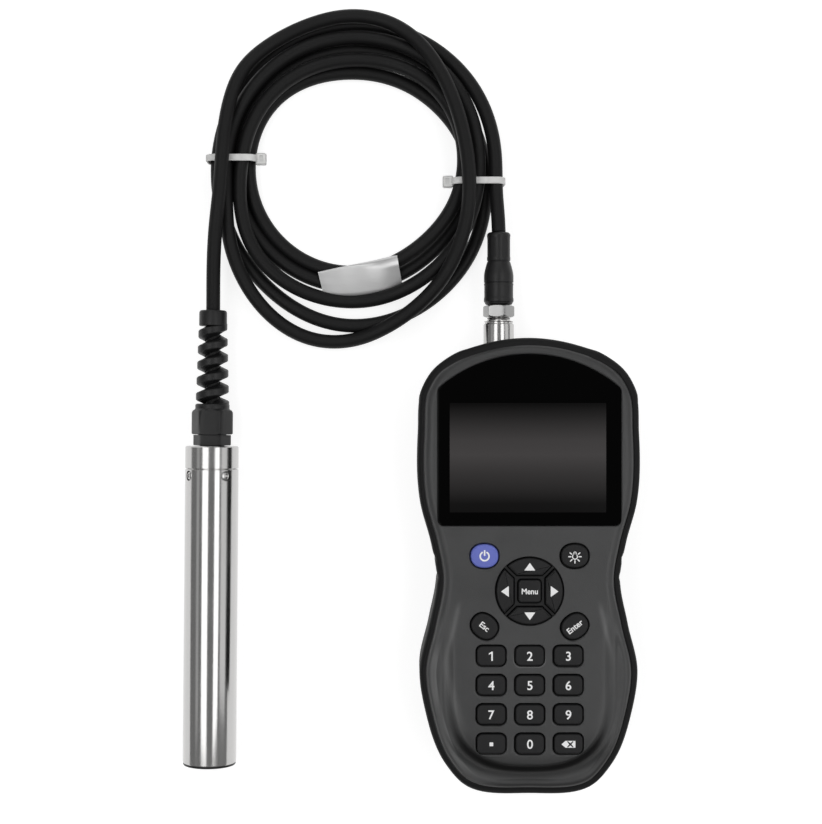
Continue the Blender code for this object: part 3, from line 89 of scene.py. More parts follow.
# Keypad plateau
PLATEAU_START_Y = -0.0190
PLATEAU_END_Y = -0.0888
PLATEAU_RISE = 0.0012
PLATEAU_HALF_WIDTH = 0.0345
PLATEAU_BEND_Y = -0.0540

# Display
WINDOW_HALF_WIDTH = 0.0414
WINDOW_BOTTOM_Y = 0.0197
WINDOW_SIDE_Y = 0.0817
WINDOW_APEX_Y = 0.0974
WINDOW_CORNER = 0.0028
WINDOW_UPPER_CORNER = 1.1 * WINDOW_CORNER
WINDOW_LOW = 0.0382
WINDOW_TOP = 0.0398
VIEW_WIDTH = 0.0708
VIEW_HEIGHT = 0.0495
VIEW_CENTRE_X = -0.0007
VIEW_CENTRE_Y = 0.05045

# Keys
OVAL_WIDTH = 0.0127
OVAL_HEIGHT = 0.0109
OVAL_X = 0.0204
POWER_ROW_Y = 0.0060
ENTER_ROW_Y = -0.0258
ENTER_TURN = math.radians(38)
DIGIT_WIDTH = 0.0132
DIGIT_HEIGHT = 0.0092
DIGIT_CORNER = 0.0027
DIGIT_PITCH_X = 0.0174
DIGIT_PITCH_Y = 0.0132
DIGIT_FIRST_ROW_Y = -0.0391
PAD_CENTRE_Y = -0.0099
PAD_RADIUS = 0.0152
PAD_RIB = 0.0017
MENU_SIZE = 0.0106
MENU_CORNER = 0.0018
PAD_ARROWS = ("up", "left", "down", "right")
PAD_WELL = 0.0006
KEY_FLANGE = 0.0006
KEY_INSET = 0.00012
KEY_CUT_RISE = 0.003
KEY_CUT_DROP = 0.002

# Lip of a key's hole: how far it grows past the key's gap, and its height from the face
KEY_LIP = (
    (0.0, -0.0006), (0.00008, -0.00025), (0.00030, -0.00003), (0.00075, 0.00012), (0.0008, KEY_CUT_RISE),
)

# Back of the meter
CASE_SCREW_PLACES = ((-0.0345, 0.0845), (0.0345, 0.0845), (-0.0285, -0.0860), (0.0285, -0.0860))
COVER_SCREW_PLACE = (0.0, -0.0180)
COVER_WIDTH = 0.0620
COVER_LENGTH = 0.0540
COVER_Y = -0.0410
COVER_CORNER = 0.0040
COVER_THICKNESS = 0.0021
COVER_GROOVES = 6
GROOVE_DROP = 0.0130
GROOVE_PITCH = 0.0024
BACK_FLOOR = 0.0034
BACK_ROUND = 0.0030
SOCKET_HOLE_RADIUS = 0.0075
SOCKET_HOLE_END = 0.1200

# Screws: head radius, head height, shank radius and length
CASE_SCREW = (0.0027, 0.0018, 0.0015, 0.0320)
COVER_SCREW = (0.0024, 0.0011, 0.0013, 0.0075)
BARREL_SCREW = (0.0020, 0.0011, 0.0011, 0.0042)
SCREW_SINK = 0.0003
SCREW_SIDES = 32

# Probe and gland
PROBE_WALL = 0.0015
PROBE_FINE_EDGE = 0.00025
HEAD_BORE = 0.0060
HEAD_SPIGOT = 0.0145
BARREL_SCREW_DROP = 0.0138
BARREL_SCREW_SEAT = 0.00235
BARREL_SCREW_ANGLES = (-51.5, 38.5, 128.5, 218.5)
GLAND_BORE = 0.0035
GLAND_TAIL = 0.0085
GLAND_NECK = 0.0044
GLAND_HEX_CORNER = 0.0090
GLAND_HEX_HEIGHT = 0.0048
GLAND_NUT_CORNER = 0.0098
GLAND_NUT_HEIGHT = 0.0114
GLAND_COLLAR = 0.0030
RELIEF_CAP_LOW = 0.0365
RELIEF_CAP_TOP = 0.0438
RELIEF_START_RIM = 0.0079
RELIEF_END_RIM = 0.0066
RELIEF_START_TURN = 0.2
RELIEF_STEPS_A_TURN = 48

# Connector, along its own axis from the middle of the meter: turned profiles hold radius and place
GRIP_PROFILE = (
    (0.0050, 0.1213), (0.0060, 0.1214), (0.0064, 0.1218), (0.0065, 0.1223), (0.00685, 0.1226),
    (0.00695, 0.1231), (0.00695, 0.1240), (0.00685, 0.1244), (0.00675, 0.1250), (0.00675, 0.1302),
    (0.00685, 0.1305), (0.00690, 0.1308), (0.00690, 0.1312), (0.00655, 0.13135), (0.00655, 0.13165),
    (0.00690, 0.1318), (0.00690, 0.1350), (0.00680, 0.1358), (0.00655, 0.1372), (0.00610, 0.1390),
    (0.00575, 0.1402), (0.00555, 0.1408), (0.00545, 0.1412), (0.00520, 0.1414), (0.00515, 0.1417),
    (0.00540, 0.1419), (0.00548, 0.1424), (0.00545, 0.1500), (0.00540, 0.1530), (0.00548, 0.1533),
    (0.00552, 0.1538), (0.00535, 0.1544), (0.00480, 0.1550), (0.00420, 0.15515),
)
GRIP_FLAT_LOW = 0.1436
GRIP_FLAT_TOP = 0.1524
NUT_LOW = 0.11555
NUT_TOP = 0.1209
NUT_CORNER = 0.00745
NUT_CHAMFER = 0.00062
NUT_TURN = math.radians(-12)
SOCKET_PROFILE = (
    (0.00575, 0.0860), (0.00575, 0.0996), (0.00715, 0.0996), (0.00715, 0.1118), (0.00705, 0.1122),
    (0.00660, 0.1125), (0.00655, 0.1129), (0.00665, 0.1132), (0.00690, 0.1134), (0.00690, 0.11355),
    (0.00555, 0.1136),
)
THREAD_START = 0.1140
THREAD_END = 0.1190
THREAD_PITCH = 0.0008
THREAD_CREST = 0.00552
THREAD_ROOT = 0.00520

# Cable
CABLE_RADIUS = 0.0030
CABLE_STEP = 2 * CABLE_RADIUS
FLOOR_GAP = 0.00035
COIL_X = -0.0271
COIL_Y = 0.1755
COIL_HALF_WIDTH = 0.0570
COIL_HALF_HEIGHT = 0.0563
COIL_TURNS = 4.5
COIL_UPPER_TURNS = 1.75
COIL_LAYER = 0.0067
COIL_LAYER_TOP = 0.0048
COIL_SETTLE = 0.55
COIL_TIE_LIFT = 0.00155
COIL_LABEL_LIFT = 0.00120
COIL_EXIT_RISE = 0.0067
GLAND_END = 0.2127
JACKET_RADIUS = 0.0033
CABLE_START = 0.1504
PLUG_TAIL_Y = 0.15545
PROBE_LEAD_ROUTE = (
    (-0.0913, 0.1274, 0.0148), (-0.0900, 0.1484, 0.0180), (-0.0876, 0.1684, 0.0190),
    (-0.0864, 0.1864, 0.0192), (-0.0842, 0.2054, 0.0176), (-0.0771, 0.2249, 0.0140),
    (-0.0658, 0.2356, 0.0108), (-0.0490, 0.2448, 0.0096), (-0.0284, 0.2500, 0.0096),
    (-0.0084, 0.2461, 0.0124), (0.0051, 0.2364, 0.0150), (0.0151, 0.2224, 0.0169),
    (0.0228, 0.2044, 0.0185), (0.0268, 0.1884, 0.0194), (0.0286, 0.1729, 0.0197),
    (0.0281, 0.1574, 0.0190), (0.0232, 0.1384, 0.0171), (0.0156, 0.1244, 0.0144),
    (0.0046, 0.1129, 0.0119), (-0.0114, 0.1022, 0.0097), (-0.0214, 0.0979, 0.0066),
    (-0.0334, 0.0959, 0.0037), (-0.0455, 0.0971, 0.0036), (-0.0559, 0.1014, 0.0052),
    (-0.0689, 0.1121, 0.0085), (-0.0791, 0.1278, 0.0102), (-0.0847, 0.1453, 0.0110),
)
LANES_A_TURN = 8
COIL_STEPS = 96
ROUTE_STEPS = 12
ROUTE_PASSES = 12
LEFT_TIE_Y = 0.1822
RIGHT_TIE_Y = 0.1715
TIE_SAMPLES = 20
TIE_SAMPLES_A_TURN = 400
TIE_REACH = 0.0027
TIE_CORNER = 0.0034
TIE_SLACK = 0.0005
TIE_HEAD_DEPTH = 0.0050
TIE_HEAD_WIDTH = 0.0054
TIE_HEAD_HEIGHT = 0.0046
TIE_HEAD_Z = 0.0094
TIE_HEAD_BEVEL = 0.0005
LABEL_SLACK = 0.0004
LABEL_FOLD = 0.0007
LABEL_START = 16.0 / 24
LABEL_END = 19.3 / 24
LABEL_INNER_EDGE = (Vector((-0.0053, 0.1371, 0)), Vector((-0.0426, 0.1291, 0)))
LABEL_OUTER_EDGE = (
    Vector((-0.0024, 0.1215, 0)), Vector((-0.0253, 0.1152, 0)), Vector((-0.0398, 0.1182, 0)),
)

# How far outside the coil's middle line the cable lies, one row a turn, at each eighth of it
COIL_LANES = (
    0.0018, 0.0051, 0.0084, 0.0082, 0.0035, 0.0038, 0.0042, 0.0026,
    -0.0050, -0.0036, -0.0022, 0.0002, -0.0036, -0.0090, -0.0095, -0.0096,
    -0.0082, -0.0055, -0.0072, -0.0045, 0.0003, -0.0034, -0.0032, -0.0034,
    -0.0018, 0.0012, 0.0031, 0.0050, 0.0069, 0.0126, 0.0157, 0.0090,
    0.0066, 0.0104, 0.0155, 0.0148, 0.0114,
)

# Stage
CAMERA_PLACE = (0.00135, 0.0629, 0.75)
CAMERA_LENS = 68.55
CAMERA_SENSOR = 36.0
FLOOR_SIZE = 8.0
FLOOR_CORNER = 0.5
FLOOR_BOTTOM = -0.02
FLOOR_TOP = -0.0001
FLOOR_GREY = 0.40
FLOOR_GLOW = 0.78
WORLD_GREY = 0.24

# Soft lights: name, place, turns about X and Y in degrees, width, length and power
LIGHTS = (
    ("left_strip", (-0.56, -0.05, 1.2), (0, 0), 0.60, 1.6, 6.0),
    ("right_strip", (0.62, -0.05, 1.2), (0, 0), 0.55, 1.6, 5.6),
    ("far_panel", (-0.1, 1.5, 1.1), (-54, 0), 1.6, 0.7, 6.0),
    ("side_panel", (1.6, 0.25, 0.9), (0, 60), 0.9, 2.4, 4.7),
    ("left_fill", (-1.35, -0.05, 0.95), (0, -55), 0.35, 1.6, 0.5),
)

# Fineness of the meshes, and the angle past which an edge stays sharp, in degrees
ROUND_SIDES = 72
OUTLINE_STEPS = 12
FIRST_EDGE_RING = 4
EDGE_STEPS = 10
OUTER_RINGS = 52
INNER_RINGS = 36
OUTER_SHARE = 0.25
SHARP = 35

# Faces with more corners than this are end caps, which are shaded flat
CAP_CORNERS = 12

# Pieces are made about the origin, turned ones about Z, and then placed on their axis
METER_AT = Matrix.Translation(METER_PLACE)
CONNECTOR_AT = Matrix.Translation(CONNECTOR_PLACE) @ Euler((-math.pi / 2, 0, 0)).to_matrix().to_4x4()
PROBE_AT = Matrix.Translation(PROBE_PLACE) @ Euler((-math.pi / 2, 0, PROBE_TURN)).to_matrix().to_4x4()


# Settings that a user would change

def size(label, text, value):
    """Length that a user can set."""
    return FloatProperty(name=label, description=text, default=value, unit="LENGTH")


def colour(label, value):
    """Colour property with plain linear values."""
    return FloatVectorProperty(name=label, description=f"Base colour of the {label.lower()}", subtype="COLOR",
                               size=3, min=0.0, max=1.0, default=value)


class MeterSettings(bpy.types.PropertyGroup):
    """Sizes of the meter's surface detail."""

    key_height: size("Key height", "How far a key stands above the front face", 0.0014)
    key_edge: size("Key edge", "Rounding of a key's upper edge", 0.0009)
    valley_depth: size("Valley depth", "Depth of the scoop around the keypad plateau", 0.0022)
    shoulder_pad: size("Shoulder pad", "Extra thickness of the bumper at the upper corners", 0.0003)
    grain_size: size("Grain size", "Size of the moulded grain on the case", 0.00045)


class CableSettings(bpy.types.PropertyGroup):
    """Sizes of the cable and what is on it."""

    sides: IntProperty(name="Sides", description="Half the sides of the cable's section", default=10, min=3)
    spacing: size("Point spacing", "Distance between the points of the cable", 0.0025)
    tie_width: size("Tie width", "Width of a tie's strap", 0.0032)
    tie_thickness: size("Tie thickness", "Thickness of a tie's strap", 0.0010)
    label_wall: size("Label wall", "Thickness of the foil label", 0.00030)


class ProbeSettings(bpy.types.PropertyGroup):
    """Sizes of the probe and its gland."""

    length: size("Length", "Length of barrel and head", 0.1494)
    head_length: size("Head length", "Length of the head", 0.0105)
    relief_turns: FloatProperty(name="Relief turns", description="Turns of the relief's spiral", default=5.6)
    relief_strip: size("Relief strip", "Width of the bend relief's strip", 0.0046)


class FinishSettings(bpy.types.PropertyGroup):
    """Colours of the finishes."""

    case: colour("Case", (0.037, 0.0375, 0.038))
    bumper: colour("Bumper", (0.0080, 0.0080, 0.0083))
    key: colour("Keys", (0.0085, 0.0085, 0.0090))
    power: colour("Power key", (0.118, 0.148, 0.510))
    legend: colour("Legends", (0.88, 0.88, 0.88))
    window: colour("Window", (0.0010, 0.0010, 0.0010))
    view: colour("Display", (0.062, 0.058, 0.058))
    steel: colour("Steel", (0.52, 0.515, 0.51))
    nut: colour("Nut", (0.33, 0.33, 0.328))
    nylon: colour("Nylon", (0.0078, 0.0078, 0.0082))
    jacket: colour("Cable jacket", (0.0060, 0.0060, 0.0062))
    tie: colour("Ties", (0.72, 0.72, 0.71))
    foil: colour("Foil", (0.64, 0.64, 0.64))
    board: colour("Circuit board", (0.020, 0.110, 0.050))
    wrap: colour("Battery wrap", (0.060, 0.100, 0.200))


# Outlines and curves

def smooth_curve(points, steps, closed=False):
    """Sample a smooth curve through points, with tangents weighted by the chords on either side."""
    points = [Vector(p) for p in points]
    count = len(points)
    spans = count if closed else count - 1

    def point(i):
        return points[i % count] if closed else points[min(max(i, 0), count - 1)]

    def tangent(i):
        before = (point(i) - point(i - 1)).length
        after = (point(i + 1) - point(i)).length
        if before == 0 or after == 0:
            return (point(i + 1) - point(i - 1)) / (before + after)
        slope_in = (point(i) - point(i - 1)) / before
        slope_out = (point(i + 1) - point(i)) / after
        return (slope_in * after + slope_out * before) / (before + after)

    sampled = []
    for i in range(spans):
        chord = (point(i + 1) - point(i)).length
        for step in range(steps):
            t = step / steps
            a = 2 * t ** 3 - 3 * t ** 2 + 1
            b = t ** 3 - 2 * t ** 2 + t
            c = -2 * t ** 3 + 3 * t ** 2
            d = t ** 3 - t ** 2
            sampled.append(
                a * point(i) + b * chord * tangent(i) + c * point(i + 1) + d * chord * tangent(i + 1)
            )
    if not closed:
        sampled.append(points[-1])
    return sampled


def evenly(points, spacing):
    """Points at an even spacing along a line of points."""
    total = sum((b - a).length for a, b in zip(points, points[1:]))
    count = max(2, round(total / spacing))
    picked = [points[0].copy()]
    run = 0.0
    for before, after in zip(points, points[1:]):
        step = (after - before).length
        while len(picked) < count and run + step >= total * len(picked) / count:
            share = (total * len(picked) / count - run) / step
            picked.append(before.lerp(after, share))
        run += step
    return picked + [points[-1].copy()]


def offset(outline, distance):
    """Move a closed counterclockwise outline outwards by a distance, or inwards if it is negative."""
    grown = []
    count = len(outline)
    for i in range(count):
        before = outline[i] - outline[i - 1]
        after = outline[(i + 1) % count] - outline[i]
        first = Vector((before.y, -before.x)).normalized()
        second = Vector((after.y, -after.x)).normalized()
        grown.append(outline[i] + (first + second) * distance / (1 + first.dot(second)))
    return grown


def rounded(corners, steps=8):
    """Round the corners of a counterclockwise outline, given as x, y and corner radius."""
    outline = []
    count = len(corners)
    for i in range(count):
        place = Vector(corners[i][:2])
        radius = corners[i][2]
        if radius == 0:
            outline.append(place)
            continue
        back = (Vector(corners[i - 1][:2]) - place).normalized()
        ahead = (Vector(corners[(i + 1) % count][:2]) - place).normalized()
        half = back.angle(ahead) / 2
        centre = place + (back + ahead).normalized() * radius / math.sin(half)
        start = place + back * radius / math.tan(half) - centre
        sweep = math.pi - 2 * half
        for step in range(steps + 1):
            outline.append(centre + spun([start], sweep * step / steps)[0])
    return outline


def rectangle(width, height, corner, steps=8):
    """Outline of a rounded rectangle about the origin."""
    x, y = width / 2, height / 2
    return rounded(((-x, -y, corner), (x, -y, corner), (x, y, corner), (-x, y, corner)), steps)


def circle(radius, sides=ROUND_SIDES):
    """Outline of a circle about the origin."""
    turn = 2 * math.pi / sides
    return [Vector((radius * math.cos(turn * i), radius * math.sin(turn * i))) for i in range(sides)]


def hexagon(corner_radius, round_to, sides=ROUND_SIDES):
    """Outline of a hexagon with as many points as a circle, its corners cut back to a radius."""
    outline = []
    for i in range(sides):
        angle = 2 * math.pi * i / sides
        from_flat = (angle % (math.pi / 3)) - math.pi / 6
        radius = min(corner_radius * math.cos(math.pi / 6) / math.cos(from_flat), round_to)
        outline.append(Vector((radius * math.cos(angle), radius * math.sin(angle))))
    return outline


def oval_outline(width, height, power=2.25, sides=64):
    """Outline of an oval a little fuller than an ellipse."""
    outline = []
    for point in circle(1.0, sides):
        x = math.copysign(abs(point.x) ** (2 / power), point.x)
        y = math.copysign(abs(point.y) ** (2 / power), point.y)
        outline.append(Vector((x * width / 2, y * height / 2)))
    return outline


def spun(outline, angle):
    """Turn an outline about the origin."""
    cosine, sine = math.cos(angle), math.sin(angle)
    return [Vector((p.x * cosine - p.y * sine, p.x * sine + p.y * cosine)) for p in outline]


def shifted(outline, x, y):
    """Move an outline."""
    return [p + Vector((x, y)) for p in outline]


def level(outline, z):
    """Lift an outline to a height."""
    return [Vector((p.x, p.y, z)) for p in outline]


def stack(outline, steps, x=0.0, y=0.0):
    """Rings of one outline, each grown by a margin, lifted to a height and moved across."""
    return [level(shifted(offset(outline, grow), x, y), z) for grow, z in steps]


def turned_rings(profile, sides=ROUND_SIDES, x=0.0, y=0.0):
    """Rings of a turned piece about Z or about a line beside it: radius and height."""
    return [level(shifted(circle(radius, sides), x, y), z) for radius, z in profile]


def hex_rings(corner, profile):
    """Rings of a piece that is round in some places and a hexagon in others: shape, radius and height."""
    return [level(circle(radius) if shape == "round" else hexagon(corner, radius), z)
            for shape, radius, z in profile]


def quarter_round(radius, steps):
    """How far in and how far down each step of a quarter round lies from its corner."""
    angles = [math.pi / 2 * step / steps for step in range(steps + 1)]
    return [(radius * (1 - math.cos(angle)), radius * (1 - math.sin(angle))) for angle in angles]


def ease(low, high, value):
    """Smooth step from 0 at low to 1 at high."""
    t = min(max((value - low) / (high - low), 0.0), 1.0)
    return t * t * (3 - 2 * t)


def bump_at(value, middle, width):
    """Smooth bump of height 1 about a middle."""
    return math.exp(-((value - middle) / width) ** 2)


def meter_outline(steps=OUTLINE_STEPS):
    """Whole outline of the meter, counterclockwise from the top centre."""
    left = [(-x, y) for x, y in METER_OUTLINE]
    right = [(x, y) for x, y in reversed(METER_OUTLINE[1:-1])]
    return smooth_curve(left + right, steps, closed=True)


def window_outline(margin):
    """Display window: straight sides and bottom, arched top, grown by a margin."""
    half = WINDOW_HALF_WIDTH + margin
    bottom = WINDOW_BOTTOM_Y - margin
    rise = WINDOW_APEX_Y - WINDOW_SIDE_Y
    radius = (WINDOW_HALF_WIDTH ** 2 + rise ** 2) / (2 * rise)
    centre_y = WINDOW_APEX_Y - radius
    radius += margin
    reach = math.asin(half / radius)
    arch_steps = 40
    corners = [(-half, bottom, WINDOW_CORNER), (half, bottom, WINDOW_CORNER)]
    for step in range(arch_steps + 1):
        angle = reach * (1 - 2 * step / arch_steps)
        corners.append((radius * math.sin(angle), centre_y + radius * math.cos(angle), 0))
    for upper in (2, -1):
        corners[upper] = (*corners[upper][:2], WINDOW_UPPER_CORNER)
    return rounded(corners)


# Meshes and objects

def add_solid(bm, rings, looped=False, index=0):
    """Add one closed body through rings of equal count; looped joins the last ring to the first."""
    loops = [[bm.verts.new(p) for p in ring] for ring in rings]
    pairs = list(zip(loops, loops[1:]))
    if looped:
        pairs.append((loops[-1], loops[0]))
    count = len(loops[0])
    faces = []
    for low, high in pairs:
        for i in range(count):
            k = (i + 1) % count
            faces.append(bm.faces.new((low[i], low[k], high[k], high[i])))
    if not looped:
        faces.append(bm.faces.new(list(reversed(loops[0]))))
        faces.append(bm.faces.new(loops[-1]))
    for face in faces:
        face.material_index = index


def shade(mesh, degrees=SHARP):
    """Shade smooth, with sharp edges past an angle."""
    mesh.shade_smooth()
    for face in mesh.polygons:
        if face.loop_total > CAP_CORNERS:
            face.use_smooth = False
    mesh.set_sharp_from_angle(angle=math.radians(degrees))


def add_object(name, data):
    """Put a new object into the scene."""
    made = bpy.data.objects.new(name, data)
    bpy.context.scene.collection.objects.link(made)
    return made


def make_object(name, bm, finishes, place=None, degrees=SHARP):
    """Turn a bmesh into an object at the origin, with its place applied to the mesh."""
    if place is not None:
        bm.transform(place)
    bmesh.ops.recalc_face_normals(bm, faces=bm.faces)
    mesh = bpy.data.meshes.new(name)
    bm.to_mesh(mesh)
    bm.free()
    shade(mesh, degrees)
    for material in finishes:
        mesh.materials.append(material)
    return add_object(name, mesh)


def loft(name, rings, material, place=None, looped=False, degrees=SHARP):
    """Make one object from rings."""
    bm = bmesh.new()
    add_solid(bm, rings, looped)
    return make_object(name, bm, [material], place, degrees)


def evaluated(piece):
    """Plain mesh of a piece as it is evaluated."""
    graph = bpy.context.evaluated_depsgraph_get()
    return bpy.data.meshes.new_from_object(piece.evaluated_get(graph), depsgraph=graph)


def bake(piece, degrees=SHARP):
    """Replace a piece's mesh by its evaluated one and drop its modifiers."""
    made = evaluated(piece)
    old = piece.data
    piece.modifiers.clear()
    piece.data = made
    made.name = old.name
    bpy.data.meshes.remove(old)
    shade(made, degrees)


def combine(piece, others, operation, degrees=SHARP):
    """Cut other objects out of a piece or join them to it, keep the plain mesh and remove the others."""
    for other in others:
        modifier = piece.modifiers.new("combine", "BOOLEAN")
        modifier.operation = operation
        modifier.solver = "EXACT"
        modifier.object = other
    bake(piece, degrees)
    for other in others:
        bpy.data.objects.remove(other, do_unlink=True)


def cut(piece, bodies, place=None, degrees=SHARP):
    """Cut bodies, given as rings, out of a piece."""
    bm = bmesh.new()
    for rings in bodies:
        add_solid(bm, rings)
    combine(piece, [make_object("cutter", bm, [], place)], "DIFFERENCE", degrees)


def settle(piece, body, slot, *nodes):
    """Let a piece ride on its body and stand for its solids."""
    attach(piece, body)
    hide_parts(*nodes)


def wire(tree, *wires):
    """Join sockets in a node tree: a node, its output, the next node and that one's input."""
    for source, out, target, into in wires:
        tree.links.new(source.outputs[out], target.inputs[into])


def repeat_tree():
    """Node tree that puts one object at each point, turned by the point's own rotation, as plain mesh."""
    tree = bpy.data.node_groups.new("repeat_at_points", "GeometryNodeTree")
    for name, kind in (("Places", "Geometry"), ("Shape", "Object"), ("Finish", "Material")):
        tree.interface.new_socket(name, in_out="INPUT", socket_type=f"NodeSocket{kind}")
    tree.interface.new_socket("Pieces", in_out="OUTPUT", socket_type="NodeSocketGeometry")
    kinds = ("NodeGroupInput", "NodeGroupOutput", "GeometryNodeObjectInfo", "GeometryNodeInputNamedAttribute",
             "FunctionNodeEulerToRotation", "GeometryNodeInstanceOnPoints", "GeometryNodeRealizeInstances",
             "GeometryNodeSetMaterial")
    start, end, shape, turn, as_turn, instance, realize, paint = [tree.nodes.new(kind) for kind in kinds]
    turn.data_type = "FLOAT_VECTOR"
    turn.inputs["Name"].default_value = "rotation"
    wire(tree, (start, "Shape", shape, "Object"), (start, "Places", instance, "Points"),
         (shape, "Geometry", instance, "Instance"), (turn, "Attribute", as_turn, "Euler"),
         (as_turn, "Rotation", instance, "Rotation"), (instance, "Instances", realize, "Geometry"),
         (realize, "Geometry", paint, "Geometry"), (start, "Finish", paint, "Material"),
         (paint, "Geometry", end, "Pieces"))
    return tree


def repeat(name, shape, placements, material):
    """Repeat a shape at placements through the node tree, and give one plain mesh object."""
    tree = bpy.data.node_groups.get("repeat_at_points") or repeat_tree()
    mesh = bpy.data.meshes.new(name)
    mesh.from_pydata([p.to_translation() for p in placements], [], [])
    turns = mesh.attributes.new("rotation", "FLOAT_VECTOR", "POINT")
    for item, placement in zip(turns.data, placements):
        item.vector = placement.to_euler()
    made = add_object(name, mesh)
    modifier = made.modifiers.new("repeat", "NODES")
    modifier.node_group = tree
    inputs = {item.name: item.identifier for item in tree.interface.items_tree if item.in_out == "INPUT"}
    modifier[inputs["Shape"]] = shape
    modifier[inputs["Finish"]] = material
    bake(made)
    bpy.data.objects.remove(shape, do_unlink=True)
    return made


# Finishes

NOISE_LOW = 0.3
NOISE_HIGH = 0.7
WEAR = 0.06
FINISHES = {}

# Painted reflection on the display, from its lower edge up: place and share of the base colour
DISPLAY_PAINTED_REFLECTION = (
    (0.0, 0.08), (0.08, 0.10), (0.215, 0.37), (0.36, 0.62), (0.526, 1.0), (0.66, 0.88), (0.88, 0.28),
    (0.985, 0.05),
)


def set_inputs(node, **values):
    """Set a node's inputs, whose names have underscores for spaces here."""
    for name, value in values.items():
        node.inputs[name.replace("_", " ")].default_value = value
    return node


def add_node(tree, kind, **values):
    """New shader node with some of its inputs set."""
    return set_inputs(tree.nodes.new(f"ShaderNode{kind}"), **values)


def colour_mix(tree, **values):
    """New node that mixes two colours."""
    mix = add_node(tree, "Mix")
    mix.data_type = "RGBA"
    return set_inputs(mix, **values)


def new_finish(name, base, roughness, **values):
    """Material with its plain values on the shader's own sockets."""
    made = bpy.data.materials.new(name)
    made.use_nodes = True
    tree = made.node_tree
    shader = set_inputs(tree.nodes["Principled BSDF"], Base_Color=(*base, 1.0), Roughness=roughness, **values)
    return made, tree, shader


def object_noise(tree, scale, detail, stretch=(1, 1, 1)):
    """Noise on Object coordinates, stretched along the axes."""
    place = add_node(tree, "TexCoord")
    mapping = add_node(tree, "Mapping", Scale=stretch)
    noise = add_node(tree, "TexNoise", Scale=scale, Detail=detail)
    wire(tree, (place, "Object", mapping, "Vector"), (mapping, "Vector", noise, "Vector"))
    return noise


def add_bump(tree, noise, shader, distance):
    """Bump from noise."""
    bump = add_node(tree, "Bump", Distance=distance, Strength=1.0)
    wire(tree, (noise, "Fac", bump, "Height"), (bump, "Normal", shader, "Normal"))


def vary_roughness(tree, noise, shader, low, high):
    """Spread noise between two values of roughness."""
    spread = add_node(tree, "MapRange", From_Min=NOISE_LOW, From_Max=NOISE_HIGH, To_Min=low, To_Max=high)
    wire(tree, (noise, "Fac", spread, "Value"), (spread, "Result", shader, "Roughness"))


def shade_ramp(tree, base, shades):
    """Ramp of shades of a base colour: place on the ramp and share of the base."""
    ramp = add_node(tree, "ValToRGB")
    elements = ramp.color_ramp.elements
    while len(elements) < len(shades):
        elements.new(0.5)
    for element, (position, share) in zip(elements, shades):
        element.position = position
        element.color = (*[min(c * share, 1.0) for c in base], 1.0)
    return ramp


def vary_colour(tree, noise, shader, base, spread):
    """Spread noise between a darker and a lighter base colour."""
    ramp = shade_ramp(tree, base, ((NOISE_LOW, 1 - spread), (NOISE_HIGH, 1 + spread)))
    wire(tree, (noise, "Fac", ramp, "Fac"), (ramp, "Color", shader, "Base Color"))


def moulded(name, base, roughness, grain, depth, spread=0.08, shine=0.5):
    """Moulded plastic or rubber: fine grain, slow changes of shade and slightly uneven gloss."""
    made, tree, shader = new_finish(name, base, roughness, Specular_IOR_Level=shine)
    add_bump(tree, object_noise(tree, 1 / grain, 3.0), shader, depth)
    slow = object_noise(tree, 60.0, 3.0)
    vary_colour(tree, slow, shader, base, spread)
    vary_roughness(tree, slow, shader, roughness - WEAR, roughness + WEAR)
    return made


def paint_shade_and_highlights(made):
    """Paint shade and highlights into a finish's base colour, as the mesh's own attributes say: painted shade
    darkens it, painted highlights lighten it.
    """
    tree = made.node_tree
    shader = tree.nodes["Principled BSDF"]
    # Painted shade mixes towards near black, painted highlights towards mid grey
    for name, tone in (("hollow", 0.002), ("worn", 0.220)):
        source = shader.inputs["Base Color"].links[0].from_socket
        mark = add_node(tree, "Attribute")
        mark.attribute_name = name
        mix = colour_mix(tree, B=(tone, tone, tone, 1.0))
        tree.links.new(source, mix.inputs["A"])
        wire(tree, (mark, "Fac", mix, "Factor"), (mix, "Result", shader, "Base Color"))
    return made


def turned_steel(name, base, roughness, stretch):
    """Polished steel with fine marks of turning across its axis."""
    made, tree, shader = new_finish(name, base, roughness, Metallic=1.0)
    add_bump(tree, object_noise(tree, 400.0, 3.0, stretch), shader, 0.000004)
    vary_roughness(tree, object_noise(tree, 35.0, 2.0), shader, roughness - 0.03, roughness + 0.04)
    return made


def painted_reflection_display(base):
    """Dark display panel, with a painted reflection: a soft grey band across its middle, darker towards its
    lower and upper edges.
    """
    made, tree, shader = new_finish("display_panel", base, 0.22, Specular_IOR_Level=0.10)
    place = add_node(tree, "TexCoord")
    parts = add_node(tree, "SeparateXYZ")
    low = METER_PLACE.y + VIEW_CENTRE_Y - VIEW_HEIGHT / 2
    share = add_node(tree, "MapRange", From_Min=low, From_Max=low + VIEW_HEIGHT)
    # Painted reflection: shades of the base colour by height on the panel
    ramp = shade_ramp(tree, base, DISPLAY_PAINTED_REFLECTION)
    wire(tree, (place, "Object", parts, "Vector"), (parts, "Y", share, "Value"),
         (share, "Result", ramp, "Fac"), (ramp, "Color", shader, "Base Color"))
    return made


def nylon_tie(base):
    """Natural nylon: milky, with a little light through it."""
    made, tree, shader = new_finish("tie_nylon", base, 0.34, Subsurface_Weight=0.35,
                                    Subsurface_Radius=(1.0, 1.0, 1.0), Subsurface_Scale=0.0012)
    vary_colour(tree, object_noise(tree, 260.0, 3.0), shader, base, 0.10)
    return made


def foil_finish(base):
    """Silver foil on paper: satin metal with faint creases along the wrap."""
    made, tree, shader = new_finish("label_foil", base, 0.38, Metallic=0.60)
    add_bump(tree, object_noise(tree, 120.0, 4.0, (0.35, 1.6, 1.0)), shader, 0.00018)
    vary_colour(tree, object_noise(tree, 45.0, 2.0), shader, base, 0.10)
    return made


